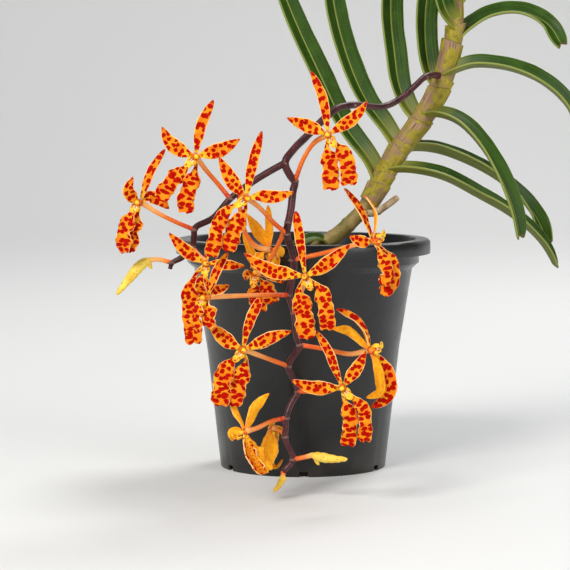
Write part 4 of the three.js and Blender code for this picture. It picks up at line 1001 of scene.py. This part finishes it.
# %% Leaves
LEAF_WIDTH = 11.5
HIGH_LEAF_WIDTH = 10.5
YOUNG_LEAF_WIDTH = 7.5
FOOT_LEAF_WIDTH = 5
LEAF_FLESH = 1.1
LEAF_NOTCH = 1.8
LEAF_OUTLINE = read_list(
    "0 0.66, 0.06 0.84, 0.18 0.96, 0.36 1, 0.54 1, 0.72 0.98, 0.86 0.89, 0.93 0.79, 0.97 0.64, 1 0.4")
# Each leaf has its name, the way its upper face looks, its fold, its width and its way.
LEAVES = [
    ("leaf_left_1", (0.45, -0.85, 0.3), (34, 20), LEAF_WIDTH,
     "379 187 0, 370 163 3, 345 128 8, 320 77 11, 298 30 13, 284 -5 12, 276 -30 10"),
    ("leaf_left_2", (0.45, -0.85, 0.3), (34, 20), LEAF_WIDTH,
     "399 152 0, 386 130 4, 365 100 8, 348 62 11, 336 20 13, 330 -20 12, 329 -48 9"),
    ("leaf_left_3", (0.4, -0.85, 0.3), (34, 20), LEAF_WIDTH,
     "420 126 0, 406 106 5, 398 84 8, 394 57 10, 390 20 12, 391 -20 12, 398 -80 8"),
    ("leaf_left_4", (0.4, -0.85, 0.3), (34, 20), LEAF_WIDTH,
     "442 93 2, 431 77 6, 426 57 8, 424 20 10, 429 -20 10, 439 -60 8, 451 -92 4"),
    ("leaf_left_5", (0.4, -0.9, 0.2), (34, 20), HIGH_LEAF_WIDTH,
     "456 26 -1, 444 8 -5, 438 -30 -9, 441 -70 -10, 451 -105 -8"),
    ("leaf_right_1", (-0.3, -0.35, 0.9), (58, 34), LEAF_WIDTH,
     "386 174 0, 402 172 -3, 440 179 -4, 475 196 -2, 511 217 2, 540 243 6, 556 268 10"),
    ("leaf_right_2", (-0.3, -0.35, 0.9), (58, 34), LEAF_WIDTH,
     "398 153 0, 413 151 3, 440 154 8, 482 171 14, 515 195 17, 538 222 18, 548 245 17"),
    ("leaf_right_3", (0.6, -0.6, 0.5), (50, 30), LEAF_WIDTH,
     "422 119 0, 437 117 -4, 458 124 -9, 480 146 -14, 500 180 -18, 513 212 -20, 519 240 -20"),
    ("leaf_right_4", (-0.2, -0.45, 0.9), (50, 34), LEAF_WIDTH,
     "443 80 0, 456 73 -3, 475 67 -5, 511 71 -7, 545 86 -7, 568 108 -5, 579 135 -2"),
    ("leaf_right_5", (-0.25, -0.6, 0.8), (45, 30), HIGH_LEAF_WIDTH,
     "453 45 0, 467 31 3, 490 17 6, 520 13 8, 547 25 8, 563 48 6"),
    ("leaf_top_young", (0.2, -0.9, 0.4), (38, 24), YOUNG_LEAF_WIDTH,
     "459 2 0, 466 -28 2, 477 -62 4, 492 -90 4"),
    ("leaf_at_foot", (0, -0.8, 0.6), (30, 20), FOOT_LEAF_WIDTH,
     "326 243 0, 320 239 -4, 311 238 -9, 301 242 -14, 293 247 -17"),
]


def make_leaf(number, name, front, fold, width, path):
    leaf = blade(
        name, seen_path(path), Vector(front).normalized(), width, LEAF_OUTLINE,
        lambda s, side: 0.12 * math.sin(12 * s + number + side), LEAF_FLESH, [LEAF_FACE, LEAF_BACK], 44, 10,
        notch=LEAF_NOTCH, ripple=0.012, spot_shift=number * 40, fold=fold,
    )
    finish_piece(leaf, name)


for number, leaf in enumerate(LEAVES):
    make_leaf(number, *leaf)


# %% [markdown]
# ## The stem
# The cane is wrapped in the dry sheaths of its leaves. Each sheath is a sleeve that ends at the base of
# its leaf, a little wider at its open mouth, and the next one comes out of it. The last one closes on
# the youngest leaf. Lower down the sheaths are gone and the bare cane shows its node rings and the stub
# of an old spray. The sleeves are open cylinders bent along the stem.

# %% Stem finish
def sheath_finish():
    finish = Finish("sheath", roughness=0.62, specular=0.2)
    chart = finish.chart()
    lines = finish.use(fibres, chart, Across=2.6, Along=0.05)
    stains = finish.use(grain, chart, Scale=0.13, Detail=5.0)
    clouds = finish.use(grain, chart, Scale=0.4, Detail=3.0)
    pores = finish.use(specks, finish.place(), Size=1.1 * MM, Fill=0.16, Ragged=1.0)
    dry = finish.layers((172, 138, 112), (lines, 0.35, 0.65, (108, 78, 56)))
    tone = finish.layers(
        (122, 112, 26), (lines, 0.3, 0.7, (176, 156, 54)), (clouds, 0.5, 0.75, (96, 98, 28)),
        (stains, 0.46, 0.6, dry),
    )
    tone = finish.blend(finish.times(pores, 0.3), tone, (80, 60, 34))
    return finish.done(tone, lines, 0.7, 0.35)


SHEATH = sheath_finish()
CANE = mottled("cane", (102, 96, 36), (152, 128, 78), 6.0, 0.55, spot=(92, 72, 44), spot_size=1.2,
               spot_fill=0.2, bump=0.8)


# %% Stem
STEM_PATH = (
    "305 330 0, 306 290 0, 310 262 0, 319 247 0, 335 236 0, 352 221 0, 367 205 0, 384 176 0, 398 151 0, "
    "419 123 0, 436 96 0, 446 71 0, 453 42 0, 457 15 0, 459 -8 0"
)
STUB_PATH = "362 212 0, 374 213 -4, 386 206 -7, 398 197 -8"
STUB_KNOTS = read_list("0 1.7, 0.4 1.45, 0.45 1.7, 0.52 1.4, 0.94 1.4, 1 1")
NODE_RINGS = (0.22, 0.27, 0.32, 0.37)
RING_REACH = 0.008
SHEATHED_FROM = 0.4
THINS_FROM = 0.75
STEM_LEAFY_RADIUS = 4.5
LEAST_SHEATH = 0.02
SHEATH_SLANT = 0.006
SHEATH_OVERLAP = 0.012
SHEATH_FLARE = 0.6
SHEATH_FLESH = 0.28


def sheath_spans(points):
    """From the foot up, where each sheath starts and ends along the stem, and the side of its leaf."""
    mouths = []
    for name, _, _, _, path in LEAVES:
        base = seen_path(path)[0]
        nearest = min(range(len(points)), key=lambda step: (points[step] - base).length_squared)
        if nearest > SHEATHED_FROM * len(points):
            mouths.append((nearest / (len(points) - 1), 1 if "left" in name else -1))
    spans = []
    start = SHEATHED_FROM
    for mouth, side in sorted(mouths):
        end = max(mouth, start + LEAST_SHEATH)
        spans.append((start, end, side))
        start = end
    return spans


def make_sleeve(number, span, closes, points, tangents, length):
    """A sheath: an open sleeve round the stem, with a slanting mouth. The last one closes on its leaf."""
    let_go()
    bpy.ops.mesh.primitive_cylinder_add(vertices=28, radius=1, depth=1, end_fill_type="NOTHING")
    sleeve = bpy.context.object
    open_mesh()
    bpy.ops.mesh.subdivide(number_cuts=3)
    close_mesh()
    first, mouth, leaf_side = span
    reach = mouth + SHEATH_OVERLAP - first
    thin = STEM_LEAFY_RADIUS - 1.5 * max(0, (first - THINS_FROM) / (1 - THINS_FROM))
    last = len(tangents) - 1
    flat = []
    for vertex in sleeve.data.vertices:
        turn = math.atan2(vertex.co.y, vertex.co.x)
        height = vertex.co.z + 0.5
        along = first + (reach - SHEATH_SLANT * leaf_side * math.cos(turn)) * height
        step = min(int(along * last), last)
        tangent = tangents[step]
        middle = points[step] + tangent * ((along - step / last) * length)
        across = Vector((0, -1, 0.2)).cross(tangent).normalized()
        other = tangent.cross(across)
        creases = 0.17 * math.sin(5 * turn + number) * (0.4 + height)
        radius = thin - 0.16 + SHEATH_FLARE * height**1.5 + creases
        if closes:
            radius *= 1 - 0.46 * height
        vertex.co = (middle + (across * math.cos(turn) + other * math.sin(turn)) * radius) * MM
        flat.append((turn * thin, along * length + number * 7))
    keep_chart(sleeve.data, flat)
    sleeve.data.materials.append(SHEATH)
    apply_modifier(sleeve, "SOLIDIFY", thickness=SHEATH_FLESH * MM, offset=-1)
    smooth_out(sleeve, 1)
    return sleeve


def make_stem():
    points, length = smooth_path(seen_path(STEM_PATH), 200)
    tangents = [(b - a).normalized() for a, b in zip(points, points[1:])]
    knots = [(0, 3.2), (0.2, 3.2)]
    for ring in NODE_RINGS:
        knots += [(ring - RING_REACH, 3.05), (ring, 3.5), (ring + RING_REACH, 3.1)]
    knots += [(SHEATHED_FROM, 3.6), (SHEATHED_FROM + 0.03, 4.2), (THINS_FROM, 4.1), (0.93, 2.9), (1, 1.0)]
    cane = stalk("cane", seen_path(STEM_PATH), knots, CANE, steps=160, roundness=5)
    stub = stalk("stub", seen_path(STUB_PATH), STUB_KNOTS, STUB, steps=24)
    spans = sheath_spans(points)
    sleeves = []
    for number, span in enumerate(spans):
        sleeves.append(make_sleeve(number, span, number == len(spans) - 1, points, tangents, length))
    print("stem length:", round(length), "mm, sheaths:", len(sleeves))
    finish_piece(join("stem", [cane, stub, *sleeves]), "stem")


make_stem()

# %% [markdown]
# ## The pot
# A thin moulded nursery pot of black plastic, round, with a step under its turned-down rim. It is drawn
# like a turned profile: a ring of points is extruded and resized step by step up the outside, over the
# rim and down the inside, then the two small rings left at the base are filled. Bevels round the edges,
# and the drain slots are cut out of the foot.

# %% Pot finish
def pot_finish():
    finish = Finish("pot_plastic", roughness=0.3)
    place = finish.place()
    fine = finish.use(grain, place, Scale=1800.0, Detail=3.0)
    dust = finish.use(grain, place, Scale=60.0, Detail=5.0)
    tone = finish.layers((6, 6, 7), (dust, 0.5, 0.85, (27, 26, 25)))
    height = finish.add("ShaderNodeSeparateXYZ", {0: place})[2]
    low = finish.times(finish.ramp(height, 0.018, 0.0), finish.ramp(dust, 0.35, 0.7))
    tone = finish.blend(finish.times(low, 0.5), tone, (74, 66, 56))
    finish.gloss(dust, 0.3, 0.75, 0.2, 0.42)
    return finish.done(tone, fine, 0.15, 0.1)


POT_PLASTIC = pot_finish()

# %% Pot
POT_PROFILE = read_list(
    "12 0, 33.4 0, 34 0.6, 39.6 50, 45 84, 47.8 86.5, 47.8 94.7, 51.2 94.7, 51.2 90.2, 52.5 90.2, 52.5 95, "
    "51.5 96, 46.5 96, 46.5 87, 43.7 84.5, 38.3 50, 32.9 1.6, 12 1.6")
DRAIN_SLOTS = 6
DRAIN_SLOT_SIZE = (9 * MM, 3.5 * MM, 8 * MM)
DRAIN_SLOT_REACH = 34 * MM
EDGE_ROUNDING = 0.3 * MM
ROUNDED_FROM = math.radians(35)
SHARP_FROM = math.radians(40)


def turn_profile():
    (radius, height), *others = POT_PROFILE
    let_go()
    bpy.ops.mesh.primitive_circle_add(vertices=128, radius=radius * MM, fill_type="NOTHING",
                                      location=(0, 0, height * MM))
    bpy.ops.object.mode_set(mode="EDIT")
    bpy.ops.mesh.select_mode(type="VERT")
    bpy.ops.mesh.select_all(action="SELECT")
    for next_radius, next_height in others:
        rise = (next_height - height) * MM
        bpy.ops.mesh.extrude_region_move(TRANSFORM_OT_translate={"value": (0, 0, rise)})
        grow = next_radius / radius
        bpy.ops.transform.resize(value=(grow, grow, 1), center_override=(0, 0, 0))
        radius, height = next_radius, next_height
    bpy.ops.mesh.select_all(action="DESELECT")
    bpy.ops.mesh.select_non_manifold(extend=False)
    bpy.ops.mesh.fill_holes(sides=0)
    bpy.ops.mesh.select_all(action="SELECT")
    bpy.ops.mesh.normals_make_consistent(inside=False)
    close_mesh()
    return bpy.context.object


def cut_drain_slots(pot):
    cutters = []
    for slot in range(DRAIN_SLOTS):
        angle = 2 * math.pi * (slot + 0.5) / DRAIN_SLOTS
        let_go()
        foot = (DRAIN_SLOT_REACH * math.cos(angle), DRAIN_SLOT_REACH * math.sin(angle), 0)
        bpy.ops.mesh.primitive_cube_add(size=1, rotation=(0, 0, angle), location=foot)
        bpy.context.object.scale = DRAIN_SLOT_SIZE
        cutters.append(bpy.context.object)
    cutter = join("slots", cutters)
    apply_modifier(pot, "BOOLEAN", operation="DIFFERENCE", object=cutter, solver="EXACT")
    bpy.data.objects.remove(cutter)


pot = turn_profile()
cut_drain_slots(pot)
apply_modifier(pot, "BEVEL", width=EDGE_ROUNDING, segments=2, limit_method="ANGLE", angle_limit=ROUNDED_FROM)
pot.name = "pot_dressed"
pot.data.materials.append(POT_PLASTIC)
finish_piece(pot, "pot", edge=SHARP_FROM)

# %% [markdown]
# ## Bark
# Orchids grow in coarse bark. A plain filling closes the pot below, and loose chips lie on it at all
# angles. Four chips are modelled from cubes, cut up, roughened and rounded, and each is copied many
# times, turned, sized and toned by seeded chance.

# %% Bark finish
def bark_finish():
    """Fibres run along each chip, and each chip has its own tone between fresh red brown and grey."""
    finish = Finish("bark", roughness=0.88, specular=0.2)
    chip = finish.kept("chipwise")
    tone_of, _ = finish.leafwise()
    lines = finish.use(fibres, chip, Across=1.7, Along=0.22)
    crumbs = finish.use(grain, chip, Scale=0.5, Detail=5.0)
    fresh = finish.layers((66, 38, 24), (lines, 0.3, 0.7, (142, 88, 54)))
    worn = finish.layers((58, 48, 42), (lines, 0.3, 0.7, (122, 106, 90)))
    tone = finish.layers(fresh, (tone_of, 0.45, 0.95, worn), (crumbs, 0.55, 0.4, (46, 30, 22)))
    return finish.done(tone, finish.plus(lines, finish.times(crumbs, 0.8)), 0.9, 0.6)


BARK = bark_finish()
BARK_DUST = mottled("bark_dust", (44, 30, 22), (66, 46, 32), 3.0, 0.95, bump=1.0)

# %% Bark chips
BARK_FOOT = 2.2
BARK_TOP = 84
BARK_FOOT_RADIUS = 32.2
BARK_TOP_RADIUS = 42.6
CHIP_COUNT = 170
CHIP_SPREAD = 39.5
GOLDEN_ANGLE = 2.39996
CHIP_UNEVENNESS = 0.09
CHIP_MODELS = 4
BARK_SEED = 20


def make_filling():
    let_go()
    bpy.ops.mesh.primitive_cone_add(
        vertices=64, radius1=BARK_FOOT_RADIUS * MM, radius2=BARK_TOP_RADIUS * MM,
        depth=(BARK_TOP - BARK_FOOT) * MM, location=(0, 0, (BARK_TOP + BARK_FOOT) / 2 * MM),
    )
    bpy.context.object.data.materials.append(BARK_DUST)
    return bpy.context.object


def make_chip(seed):
    let_go()
    bpy.ops.mesh.primitive_cube_add(size=MM)
    chip = bpy.context.object
    open_mesh()
    bpy.ops.mesh.subdivide(number_cuts=2)
    bpy.ops.transform.vertex_random(offset=CHIP_UNEVENNESS * MM, seed=seed)
    close_mesh()
    chip.data.materials.append(BARK)
    smooth_out(chip, 1)
    return chip


def dress_chip(chip, number, tone):
    """Keeps each chip's own tone, and its own places in millimetres, with the length of the chip second."""
    own_places = []
    for vertex in chip.data.vertices:
        x, y, z = [part / MM * scale for part, scale in zip(vertex.co, chip.scale)]
        own_places.append((y + 13 * number, x, z))
    keep_vectors(chip.data, "leafwise", [(tone, 0, 0)] * len(own_places))
    keep_vectors(chip.data, "chipwise", own_places)


def scatter_chips(models):
    chance = random.Random(BARK_SEED)
    chips = []
    for number in range(CHIP_COUNT):
        chip = copy_of(chance.choice(models))
        radius = CHIP_SPREAD * math.sqrt((number + 0.5) / CHIP_COUNT)
        angle = number * GOLDEN_ANGLE
        height = BARK_TOP + chance.uniform(0.2, 3.4) * (1 - 0.25 * radius / 40)
        chip.location = Vector((radius * math.cos(angle), radius * math.sin(angle), height)) * MM
        chip.rotation_euler = (chance.uniform(-0.5, 0.5), chance.uniform(-0.5, 0.5), chance.uniform(0, 6.3))
        long = chance.uniform(6, 13)
        chip.scale = (long, long * chance.uniform(0.45, 0.8), chance.uniform(1.8, 3.6))
        dress_chip(chip, number, chance.random())
        chips.append(chip)
    return chips


filling = make_filling()
models = [make_chip(seed) for seed in range(CHIP_MODELS)]
chips = scatter_chips(models)
for model in models:
    bpy.data.objects.remove(model)
finish_piece(join("bark_dressed", [filling, *chips]), "bark_mix")
print("chips:", len(chips))

# %% [markdown]
# ## Floor and light
# The plant stands on a pale sweep: a floor that curves up behind it into a plain wall. Large soft lamps
# light it from the front left and the right, and a third from behind gives the edges a glow.

# %% Sweep
SWEEP_WIDTH = 6
SWEEP_DEPTH = 3.4
# How far back each step of the sweep goes, and how far up, in metres.
SWEEP_STEPS = ((0.25, 0.03), (0.22, 0.12), (0.15, 0.22), (0.08, 0.35), (0.02, 2.4))


def make_sweep():
    let_go()
    bpy.ops.mesh.primitive_plane_add(size=1, location=(0, 0, 0))
    sweep = bpy.context.object
    sweep.scale = (SWEEP_WIDTH, SWEEP_DEPTH, 1)
    sweep.location = (0, -0.6, -0.0002)
    bpy.ops.object.transform_apply(location=True, rotation=False, scale=True)
    back_edge = {vertex.index for vertex in sweep.data.vertices if vertex.co.y > 1.0}
    open_picked(sweep, "edges", "EDGE", lambda edge: set(edge.vertices) == back_edge)
    for back, rise in SWEEP_STEPS:
        bpy.ops.mesh.extrude_region_move(TRANSFORM_OT_translate={"value": (0, back, rise)})
    close_mesh()
    smooth_out(sweep, 2)
    bpy.ops.object.shade_smooth()
    paper = Finish("paper", roughness=0.85, specular=0.2)
    paper.feed(paper.shader["Base Color"], colour((226, 226, 224)))
    sweep.data.materials.append(paper.material)
    sweep.name = "sweep"
    print("sweep:", len(sweep.data.polygons), "faces")


make_sweep()

# %% Lamps
LAMP_AIM = Vector((0, -0.05, 0.1))


def add_lamp(name, place, size, power, warmth=(1, 1, 1)):
    let_go()
    bpy.ops.object.light_add(type="AREA", location=place)
    lamp = bpy.context.object
    lamp.name = name
    lamp.data.shape = "DISK"
    lamp.data.size = size
    lamp.data.energy = power
    lamp.data.color = warmth
    lamp.rotation_euler = (LAMP_AIM - Vector(place)).to_track_quat("-Z", "Y").to_euler()
    print("lamp:", name)


add_lamp("key", (-0.75, -1.25, 1.05), 0.7, 26, (1, 0.98, 0.95))
add_lamp("fill", (1.1, -1.0, 0.55), 0.9, 9, (0.95, 0.97, 1))
add_lamp("rim", (0.5, 0.9, 1.2), 0.6, 12)
world = bpy.context.scene.world or bpy.data.worlds.new("air")
bpy.context.scene.world = world
world.use_nodes = True
sky = world.node_tree.nodes["Background"].inputs
sky[0].default_value = colour((225, 230, 236))
sky[1].default_value = 0.35
bpy.context.scene.view_settings.view_transform = "Standard"
